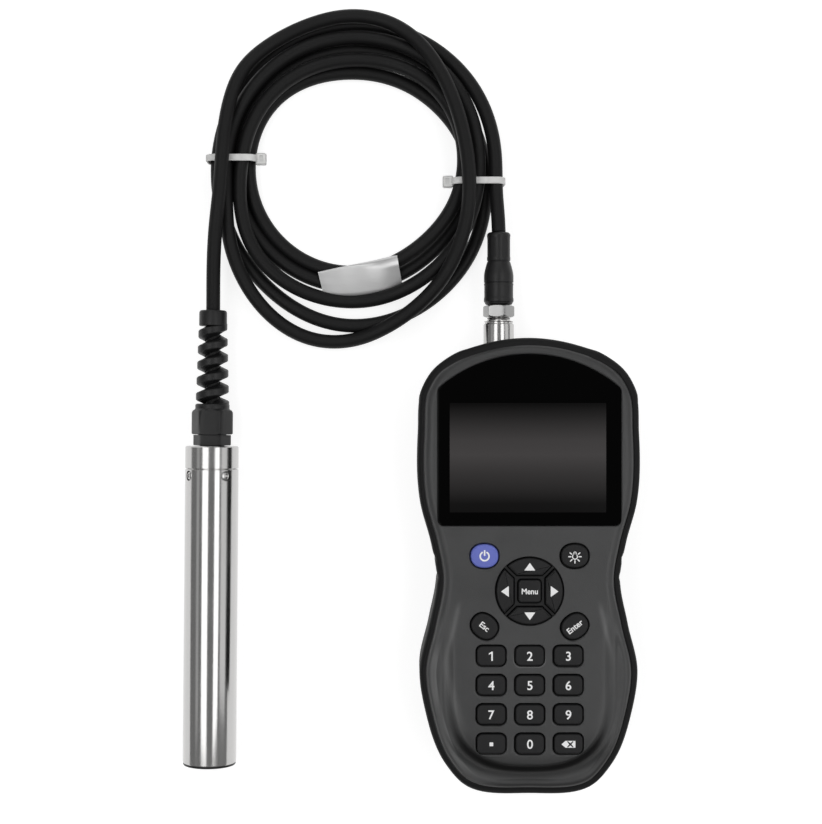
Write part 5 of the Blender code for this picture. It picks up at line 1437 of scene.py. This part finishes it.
class PROBE_OT_shells(bpy.types.Operator):
    """Mould the two shells, the bumper, the battery cover and the back screws"""

    bl_idname = "water_probe.shells"
    bl_label = "Meter shells"

    def execute(self, context):
        settings = context.scene.probe_meter
        self.add_front(settings)
        self.add_back()
        self.add_bumper(settings)
        self.add_cover()
        self.add_back_screws()
        return {"FINISHED"}

    def add_front(self, settings):
        """Front shell: a sculpted face with a lipped hole for each key and the window's recess."""
        outline = meter_outline()
        rings = stack(outline, ((-CASE_INNER, FRONT_INNER), (-CASE_INNER, PARTING + GAP),
                                (-CASE_INSET, PARTING + GAP), (-CASE_INSET, FRONT_SIDE_TOP)))
        for step in range(EDGE_STEPS + 1):
            angle = math.pi / 2 * step / EDGE_STEPS
            ring = []
            for p in offset(outline, -(CASE_INSET + FRONT_ROUND * (1 - math.cos(angle)))):
                climb = front_height(p.x, p.y, settings) - FRONT_SHOULDER
                ring.append(Vector((p.x, p.y, FRONT_SHOULDER + climb * math.sin(angle))))
            rings.append(ring)
        edge = offset(outline, -(CASE_INSET + FRONT_ROUND))
        scales = [1 - OUTER_SHARE * step / OUTER_RINGS for step in range(1, OUTER_RINGS + 1)]
        scales += [(1 - OUTER_SHARE) * (1 - step / INNER_RINGS) for step in range(1, INNER_RINGS)]
        for scale in scales:
            ring = [p * scale for p in edge]
            rings.append([Vector((p.x, p.y, front_height(p.x, p.y, settings))) for p in ring])
        shell = loft("shell_front", rings, finish("case"), METER_AT)
        shell.data.materials.append(finish("key"))
        # Painted shade and painted highlights on the case, stored as point attributes
        self.mark_painted_light(shell, settings, len(outline))
        self.cut_front(shell)
        pad = METER_PLACE + Vector((0, PAD_CENTRE_Y, FRONT_HEIGHT))
        for face in shell.data.polygons:
            away = face.center - pad
            if away.xy.length < PAD_RADIUS + 0.0007 and away.z < -0.00001:
                face.material_index = 1
        settle(shell, "meter", "dark_grey_plastic", "front_case")

    def cut_front(self, shell):
        """Cut the direction pad's well, then the keys' holes and the window's recess."""
        radius = PAD_RADIUS + PAD_WELL
        well = ((radius, FRONT_HEIGHT - PAD_WELL), (radius, FRONT_HEIGHT + KEY_CUT_RISE))
        cut(shell, [turned_rings(well, 96, 0, PAD_CENTRE_Y)], METER_AT, 30)
        holes = []
        for name, shape, (x, y), _ in key_table():
            face = surface_height(y)
            on_pad = name == "menu" or name in PAD_ARROWS
            lip = ((0.0, KEY_CUT_RISE),) if on_pad else KEY_LIP
            steps = [(KEY_GAP, FRONT_INNER - KEY_CUT_DROP)]
            steps += [(KEY_GAP + grow, face + rise) for grow, rise in lip]
            holes.append(stack(shape, steps, x, y))
        recess = ((0.0003, 0.0379), (0.0003, 0.0396), (0.0006, 0.0399), (0.0012, 0.0402), (0.0012, 0.0440))
        holes.append([level(window_outline(margin), z) for margin, z in recess])
        cut(shell, holes, METER_AT, 30)

    def mark_painted_light(self, shell, settings, around):
        """Mark how much painted shade and how much painted highlight each point of the rounded edge and the
        face gets.
        """
        hollow = shell.data.attributes.new("hollow", "FLOAT", "POINT")
        worn = shell.data.attributes.new("worn", "FLOAT", "POINT")
        for vertex in shell.data.vertices:
            ring = vertex.index // around - FIRST_EDGE_RING
            if ring < 0:
                continue
            x, y, z = vertex.co - METER_PLACE
            if ring <= EDGE_STEPS:
                shade_amount, highlight_amount = self.edge_painted_light(x, y, z)
            else:
                scale = 1 - OUTER_SHARE * (ring - EDGE_STEPS) / OUTER_RINGS
                shade_amount, highlight_amount = self.face_painted_light(x, y, scale, settings)
            hollow.data[vertex.index].value = shade_amount
            worn.data[vertex.index].value = highlight_amount

    def edge_painted_light(self, x, y, z):
        """Painted shade and painted highlight on the rounded edge: painted shade at both ends and growing
        towards the top, painted highlights along the sides, strongest on the left, and at the lower left.
        """
        foot = 0.90 * ease(0.0399, 0.0391, z) * ease(-0.072, -0.089, y)
        crown = 0.60 * ease(0.0385, 0.0372, z) * ease(0.085, 0.098, y)
        sides = 0.9 * ease(*SIDE_FADE, -x) + 0.15 * ease(*SIDE_FADE, x)
        edge = bump_at(z, 0.0368, 0.0011) * sides
        lower_left_highlight = bump_at(z, 0.0393, 0.0005) * ease(-0.026, -0.042, y) * ease(0.012, 0.026, -x)
        return max(foot, crown, 0.30 * ease(*CROWN_FADE, y)), max(edge, 0.28 * lower_left_highlight)

    def face_painted_light(self, x, y, scale, settings):
        """Painted shade and painted highlight on the face: painted shade on slopes that face the lower end,
        on the step below the keys and towards both ends, and painted highlight streaks where the valley
        starts.
        """
        inside, low = plateau_place(x, y)
        small = 0.0001
        above, below = front_height(x, y + small, settings), front_height(x, y - small, settings)
        slope = (above - below) / (2 * small)
        low_side = ease(0.15, 0.5, low)
        step = ease(0.0009, -0.0008, inside) * (1 - ease(-0.0040, -0.0072, inside)) * low_side
        near = 0.58 * ease(0.0056, 0.0014, inside) * low_side if inside > 0 else 0.0
        grade = 0.20 * ease(-0.050, -0.088, y) * ease(-0.002, 0.002, inside) + 0.30 * ease(*CROWN_FADE, y)
        # Painted shade: darker on slopes facing the lower end, on the step, near the plateau's lower edge and
        # towards both ends
        light = (1 - 0.95 * ease(0.10, 0.7, slope)) * (1 - 0.94 * step) * (1 - near) * (1 - grade)
        # Painted highlight: streaks on both sides where the valley starts, longer on the left
        starts = bump_at(scale, 0.885, 0.036) * ease(-0.013, -0.020, y)
        lefts = ease(*SIDE_FADE, -x) * (1 - ease(-0.056, -0.080, y))
        rights = ease(*SIDE_FADE, x) * (1 - 0.8 * ease(-0.030, -0.046, y)) * (1 - ease(-0.060, -0.080, y))
        return 1 - light, 0.26 * starts * (lefts + rights)

    def add_back(self):
        """Back shell: a tray with rounded edges, screw seats, the cover's recess and the socket's hole."""
        steps = [(-CASE_INNER, BACK_FLOOR), (-CASE_INNER, PARTING), (-CASE_INSET, PARTING)]
        steps += [(-(CASE_INSET + inward), down) for inward, down in quarter_round(BACK_ROUND, 8)]
        shell = loft("shell_back", stack(meter_outline(8), steps), finish("case"), METER_AT)
        seat = ((0.0033, -0.001), (0.0033, 0.0002), (0.00305, 0.0005), (0.00305, 0.0024))
        seats = [turned_rings(seat, SCREW_SIDES, x, y) for x, y in CASE_SCREW_PLACES]
        recess = ((0.0006, -0.001), (0.0006, 0.0), (GAP, 0.0004), (GAP, COVER_THICKNESS + GAP))
        seats.append(stack(cover_outline(), recess))
        cut(shell, seats, METER_AT)
        cut(shell, [socket_hole(0.0900)])
        settle(shell, "meter", "dark_grey_plastic", "rear_case")

    def add_bumper(self, settings):
        """Rubber ring with rounded edges, thicker upper corners and grip dents at the waist."""
        outline = meter_outline()
        normals = offset(outline, 1.0)
        section = (
            (0.0032, 0.0062), (0.0022, 0.0060), (0.0012, 0.0062), (0.0005, 0.0068), (0.0001, 0.0080),
            (0.0, 0.0100), (0.0, 0.0180), (0.0, 0.0260), (0.0, 0.0325), (0.0001, 0.0342), (0.0005, 0.0356),
            (0.0012, 0.0364), (0.0020, 0.0368), (0.0028, 0.0367), (0.00335, 0.0364), (0.00335, 0.0300),
            (0.0032, 0.0180),
        )
        rings = []
        for inset, z in section:
            outer = max(0.0, 1 - inset / BUMPER_DEPTH)
            upper = 1.0 if z > 0.035 else 0.0
            placed = []
            for p, start, end in zip(offset(outline, -inset), outline, normals):
                away = (end - start).normalized()
                corner = ease(0.0755, 0.0785, start.y) * (1 - ease(0.0985, 0.1005, start.y))
                pad = corner * settings.shoulder_pad
                dents = sum(bump_at(start.y, middle, GRIP_DENT_WIDTH) for middle in GRIP_DENTS)
                lip = upper * 0.0010 * ease(0.70, 0.96, abs(away.y)) * ease(0.0018, 0.00335, inset)
                grown = p + away * (outer * (pad - GRIP_DENT_DEPTH * dents) - lip)
                lift = 0.0006 * corner * ease(0.020, 0.036, z) + 1.5 * lip
                placed.append(Vector((grown.x, grown.y, z + lift)))
            rings.append(placed)
        bumper = loft("bumper_ring", rings, finish("bumper"), METER_AT, looped=True, degrees=50)
        # Painted highlight along the bumper's inner top edge on the left side
        worn = bumper.data.attributes.new("worn", "FLOAT", "POINT")
        for vertex in bumper.data.vertices:
            inset, z = section[vertex.index // len(outline)]
            if inset > 0.0030 and z > 0.0360:
                worn.data[vertex.index].value = 0.60 * ease(*SIDE_FADE, METER_PLACE.x - vertex.co.x)
        cut(bumper, [socket_hole(0.0950)], None, 50)
        settle(bumper, "meter", "black_rubber", "bumper")

    def add_cover(self):
        """Battery cover with a rounded edge, finger ridges and its screw's seat."""
        edge = ((0, COVER_THICKNESS), (0, 0.0004), (-0.0001, 0.0001), (-0.0004, 0.0))
        cover = loft("battery_door", stack(cover_outline(), edge), finish("case"), METER_AT)
        seat = ((0.0030, -0.001), (0.00275, 0.0002), (0.00275, 0.0016))
        seats = [turned_rings(seat, SCREW_SIDES, *COVER_SCREW_PLACE)]
        groove = rectangle(0.0220, 0.0012, 0.0005, 4)
        for row in range(COVER_GROOVES):
            moved = shifted(groove, 0, COVER_Y - GROOVE_DROP - GROOVE_PITCH * row)
            seats.append(stack(moved, ((0.0003, -0.001), (0, 0.0006))))
        cut(cover, seats, METER_AT)
        settle(cover, "meter", "dark_grey_plastic", "battery_cover")

    def add_back_screws(self):
        """Screws that close the shells and hold the battery cover, heads down."""
        down = Euler((math.pi, 0, 0)).to_matrix().to_4x4()
        case_nodes = [f"case_screw_{i}" for i in range(1, 5)]
        for name, screw, places, nodes in (
                ("case_screws", CASE_SCREW, CASE_SCREW_PLACES, case_nodes),
                ("cover_screw", COVER_SCREW, [COVER_SCREW_PLACE], ["battery_cover_screw"])):
            placements = [METER_AT @ Matrix.Translation((x, y, SCREW_SINK)) @ down for x, y in places]
            screws = repeat(name, screw_shape(*screw, 0.0), placements, finish("nut_steel"))
            settle(screws, "meter", "stainless_steel", *nodes)


class PROBE_OT_display(bpy.types.Operator):
    """Set the black window with its bare border and the dark display behind it"""

    bl_idname = "water_probe.display"
    bl_label = "Display window"

    def execute(self, context):
        top = WINDOW_TOP
        bm = bmesh.new()
        add_solid(bm, stack(window_outline(0), (
            (0, WINDOW_LOW), (0, top - 0.0004), (-0.0001, top - 0.0001), (-0.0004, top))))
        # The view panel carries the display's painted reflection
        view = shifted(rectangle(VIEW_WIDTH, VIEW_HEIGHT, 0.0004, 3), VIEW_CENTRE_X, VIEW_CENTRE_Y)
        add_solid(bm, stack(view, ((0, top - 0.0002), (0, top + 0.00003))), index=1)
        glass = make_object("window_glass", bm, [finish("window"), finish("view")], METER_AT, 8)
        settle(glass, "meter", "black_glass", "display_window")
        return {"FINISHED"}


# Keys and legends

INK = 0.00005
WORD_WEIGHT = 0.00007
CAP_SHARE = 0.73
DIGIT_CAP = 0.0042

# Words on keys: cap height, width if it isn't the font's own, and turn
WORDS = {
    "Menu": (0.0026, 0.0073, 0.0),
    "Esc": (0.0027, None, -ENTER_TURN),
    "Enter": (0.0027, None, ENTER_TURN),
}


def vectors(*places):
    """Points from pairs of numbers."""
    return [Vector(place) for place in places]


def plate(points):
    """Thin ink plate from an outline about the origin."""
    bm = bmesh.new()
    add_solid(bm, [level(points, -INK), level(points, INK)])
    return bm


def merge(target, source, place, finish_index):
    """Add one bmesh to another at a place, with a finish."""
    source.transform(place)
    bmesh.ops.recalc_face_normals(source, faces=source.faces)
    mesh = bpy.data.meshes.new("part")
    source.to_mesh(mesh)
    source.free()
    before = len(target.faces)
    target.from_mesh(mesh)
    bpy.data.meshes.remove(mesh)
    target.faces.ensure_lookup_table()
    for face in target.faces[before:]:
        face.material_index = finish_index


def word(body, height, width):
    """Word as a thin mesh about its own middle, with a cap height and a width if one is given."""
    curve = bpy.data.curves.new("word", "FONT")
    curve.body = body
    curve.size = height / CAP_SHARE
    curve.offset = WORD_WEIGHT
    curve.extrude = INK
    curve.resolution_u = 6
    made = add_object("word", curve)
    mesh = evaluated(made)
    bpy.data.objects.remove(made, do_unlink=True)
    bm = bmesh.new()
    bm.from_mesh(mesh)
    bpy.data.meshes.remove(mesh)
    bmesh.ops.remove_doubles(bm, verts=bm.verts, dist=1e-7)
    xs = [v.co.x for v in bm.verts]
    ys = [v.co.y for v in bm.verts]
    bm.transform(Matrix.Translation((-(min(xs) + max(xs)) / 2, -(min(ys) + max(ys)) / 2, 0)))
    if width is not None:
        bm.transform(Matrix.Diagonal((width / (max(xs) - min(xs)), 1, 1, 1)))
    return bm


def stroke(points, width):
    """Open line of points as a thin ink stroke with round ends."""
    half = width / 2
    left, right = [], []
    for i, p in enumerate(points):
        ahead = points[min(i + 1, len(points) - 1)] - points[max(i - 1, 0)]
        side = Vector((-ahead.y, ahead.x)).normalized() * half
        left.append(p + side)
        right.append(p - side)
    tips = 6
    ahead = (points[-1] - points[-2]).normalized() * half
    behind = (points[0] - points[1]).normalized() * half
    turns = [math.pi * (i / tips - 0.5) for i in range(1, tips)]
    end_cap = [points[-1] + spun([ahead], turn)[0] for turn in turns]
    start_cap = [points[0] + spun([behind], turn)[0] for turn in turns]
    return plate(right + end_cap + left[::-1] + start_cap)


def arc(radius, start, end, steps=40):
    """Points of an arc about the origin, angles in degrees."""
    first = math.radians(start)
    span = math.radians(end - start)
    angles = [first + span * i / steps for i in range(steps + 1)]
    return [Vector((radius * math.cos(angle), radius * math.sin(angle))) for angle in angles]


def one_marks():
    """Figure one: an upright bar with a flag."""
    return [plate(vectors(
        (0.00068, -0.0021), (0.00068, 0.0021), (0.00013, 0.0021), (-0.00112, 0.00128), (-0.00112, 0.00068),
        (-0.00002, 0.00122), (-0.00002, -0.0021)))]


def point_marks():
    """Decimal point: a small square."""
    return [plate(rectangle(0.0017, 0.0017, 0.0002, 2))]


def power_marks():
    """Power sign: an open ring with a bar in its gap."""
    width = 0.00072
    bar = vectors((0, 0.00045), (0, 0.00135), (0, 0.00245))
    return [stroke(arc(0.00200, 122, 418), width), stroke(bar, width)]


def lamp_marks():
    """Lamp sign: a hanging bulb outline with rays."""
    drop = Vector((0, -0.00020))
    thin = 0.00040
    marks = [stroke([p + drop for p in arc(0.00112, 130, 410)], 0.00044)]
    for side in (-1, 1):
        neck = vectors((side * 0.00072, 0.00066), (side * 0.00050, 0.00110), (side * 0.00050, 0.00185))
        marks.append(stroke(neck, thin))
    marks.append(stroke(vectors((-0.00045, 0.00190), (0, 0.00190), (0.00045, 0.00190)), thin))
    for degrees in (0, 180, -45, -135, -90, 38, 142):
        away = spun([Vector((1, 0))], math.radians(degrees))[0]
        marks.append(stroke([away * reach + drop for reach in (0.00185, 0.00235, 0.00282)], 0.00050))
    return marks


def arrow_marks(angle):
    """Arrow triangle that points along an angle from straight up."""
    corner = 0.00012
    shape = rounded(((-0.0025, -0.00165, corner), (0.0025, -0.00165, corner), (0, 0.00185, corner)), 3)
    return [plate(spun(shape, angle))]


def delete_marks():
    """Backspace sign: a tag that points left, with a cross left open in it as four plates."""
    half, tip, shoulder, end = 0.00155, -0.0032, -0.0014, 0.0031
    middle, arm, gap = 0.0008, 0.00100, 0.00032
    notch = gap * 1.6
    low, high = middle - arm - gap, middle + arm + gap
    west = vectors((shoulder, half), (tip, 0), (shoulder, -half), (low, -half), (low, -arm),
                   (middle - notch, 0), (low, arm), (low, half))
    east = vectors((end, -half), (end, half), (high, half), (high, arm), (middle + notch, 0),
                   (high, -arm), (high, -half))
    north = vectors((low, half), (middle - arm, arm + gap), (middle, notch), (middle + arm, arm + gap),
                    (high, half))
    south = vectors((high, -half), (middle + arm, -arm - gap), (middle, -notch), (middle - arm, -arm - gap),
                    (low, -half))
    return [plate(points) for points in (west, east, north, south)]


SIGNS = {
    "power": power_marks, "lamp": lamp_marks, "point": point_marks, "delete": delete_marks, "1": one_marks,
}


def legend_marks(legend):
    """Ink plates of one legend, and the turn that they are printed at."""
    if legend in PAD_ARROWS:
        return arrow_marks(PAD_ARROWS.index(legend) * math.pi / 2), 0.0
    if legend in SIGNS:
        return SIGNS[legend](), 0.0
    height, width, turn = WORDS.get(legend, (DIGIT_CAP, None, 0.0))
    return [word(legend, height, width)], turn


class PROBE_OT_keys(bpy.types.Operator):
    """Mould the rubber keys with their printed legends"""

    bl_idname = "water_probe.keys"
    bl_label = "Keys"

    def execute(self, context):
        settings = context.scene.probe_meter
        for name, shape, (x, y), legend in key_table():
            top = surface_height(y) + settings.key_height
            rings = stack(shape, ((KEY_FLANGE, FLANGE_BOTTOM), (KEY_FLANGE, FLANGE_TOP)))
            steps = [(0, FLANGE_TOP)]
            steps += [(-inward, top - down) for inward, down in quarter_round(settings.key_edge, 9)]
            rings += stack(offset(shape, -KEY_INSET), steps)
            bm = bmesh.new()
            add_solid(bm, rings)
            marks, turn = legend_marks(legend)
            at = Matrix.Translation((0, 0, top)) @ Matrix.Rotation(turn, 4, "Z")
            for mark in marks:
                merge(bm, mark, at, 1)
            cap, slot = ("power", "blue_key_rubber") if name == "power" else ("key", "key_rubber")
            key = make_object(f"{name}_cap", bm, [finish(cap), finish("legend")],
                              Matrix.Translation(METER_PLACE + Vector((x, y, 0))), 40)
            settle(key, f"{name}_button", slot, f"{name}_key")
        return {"FINISHED"}


# Inner pieces

class PROBE_OT_inner(bpy.types.Operator):
    """Give the solids that stay inside their finishes"""

    bl_idname = "water_probe.inner"
    bl_label = "Inner pieces"

    def execute(self, context):
        finishes = {
            "lcd_panel": "view", "main_board": "board", "sensor_board": "board", "keypad_mat": "key",
            "battery_pack": "wrap", "case_seal": "bumper", "gland_seal": "bumper", "head_o_ring": "bumper",
            "socket_insert": "nylon", "plug_insert": "nylon",
        }
        for node, name in finishes.items():
            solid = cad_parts[node]
            if not solid.material_slots:
                solid.data.materials.append(None)
            for slot in solid.material_slots:
                slot.material = finish(name)
        return {"FINISHED"}


class PROBE_PT_panel(bpy.types.Panel):
    """Sidebar list of the pieces and their settings"""

    bl_idname = "PROBE_PT_panel"
    bl_label = "Water Probe"
    bl_space_type = "VIEW_3D"
    bl_region_type = "UI"
    bl_category = "Water Probe"

    def draw(self, context):
        for operator in OPERATORS:
            self.layout.operator(operator.bl_idname)
        for name in SETTINGS:
            group = getattr(context.scene, name)
            box = self.layout.box()
            for key in group.bl_rna.properties.keys():
                if key not in ("rna_type", "name"):
                    box.prop(group, key)


SETTINGS = {
    "probe_meter": MeterSettings,
    "probe_cable": CableSettings,
    "probe_barrel": ProbeSettings,
    "probe_finish": FinishSettings,
}
OPERATORS = (
    PROBE_OT_stage, PROBE_OT_ties, PROBE_OT_label, PROBE_OT_connector, PROBE_OT_cable, PROBE_OT_gland,
    PROBE_OT_barrel, PROBE_OT_shells, PROBE_OT_display, PROBE_OT_keys, PROBE_OT_inner,
)


def register():
    """Add the settings, the operators and the panel."""
    for group in SETTINGS.values():
        bpy.utils.register_class(group)
    for name, group in SETTINGS.items():
        setattr(bpy.types.Scene, name, PointerProperty(type=group))
    for operator in OPERATORS:
        bpy.utils.register_class(operator)
    bpy.utils.register_class(PROBE_PT_panel)


def unregister():
    """Take the panel, the operators and the settings away again."""
    bpy.utils.unregister_class(PROBE_PT_panel)
    for operator in reversed(OPERATORS):
        bpy.utils.unregister_class(operator)
    for name, group in SETTINGS.items():
        delattr(bpy.types.Scene, name)
        bpy.utils.unregister_class(group)


def main():
    """Build all pieces in order."""
    register()
    for operator in OPERATORS:
        getattr(bpy.ops.water_probe, operator.bl_idname.split(".")[1])()


if __name__ == "__main__":
    main()
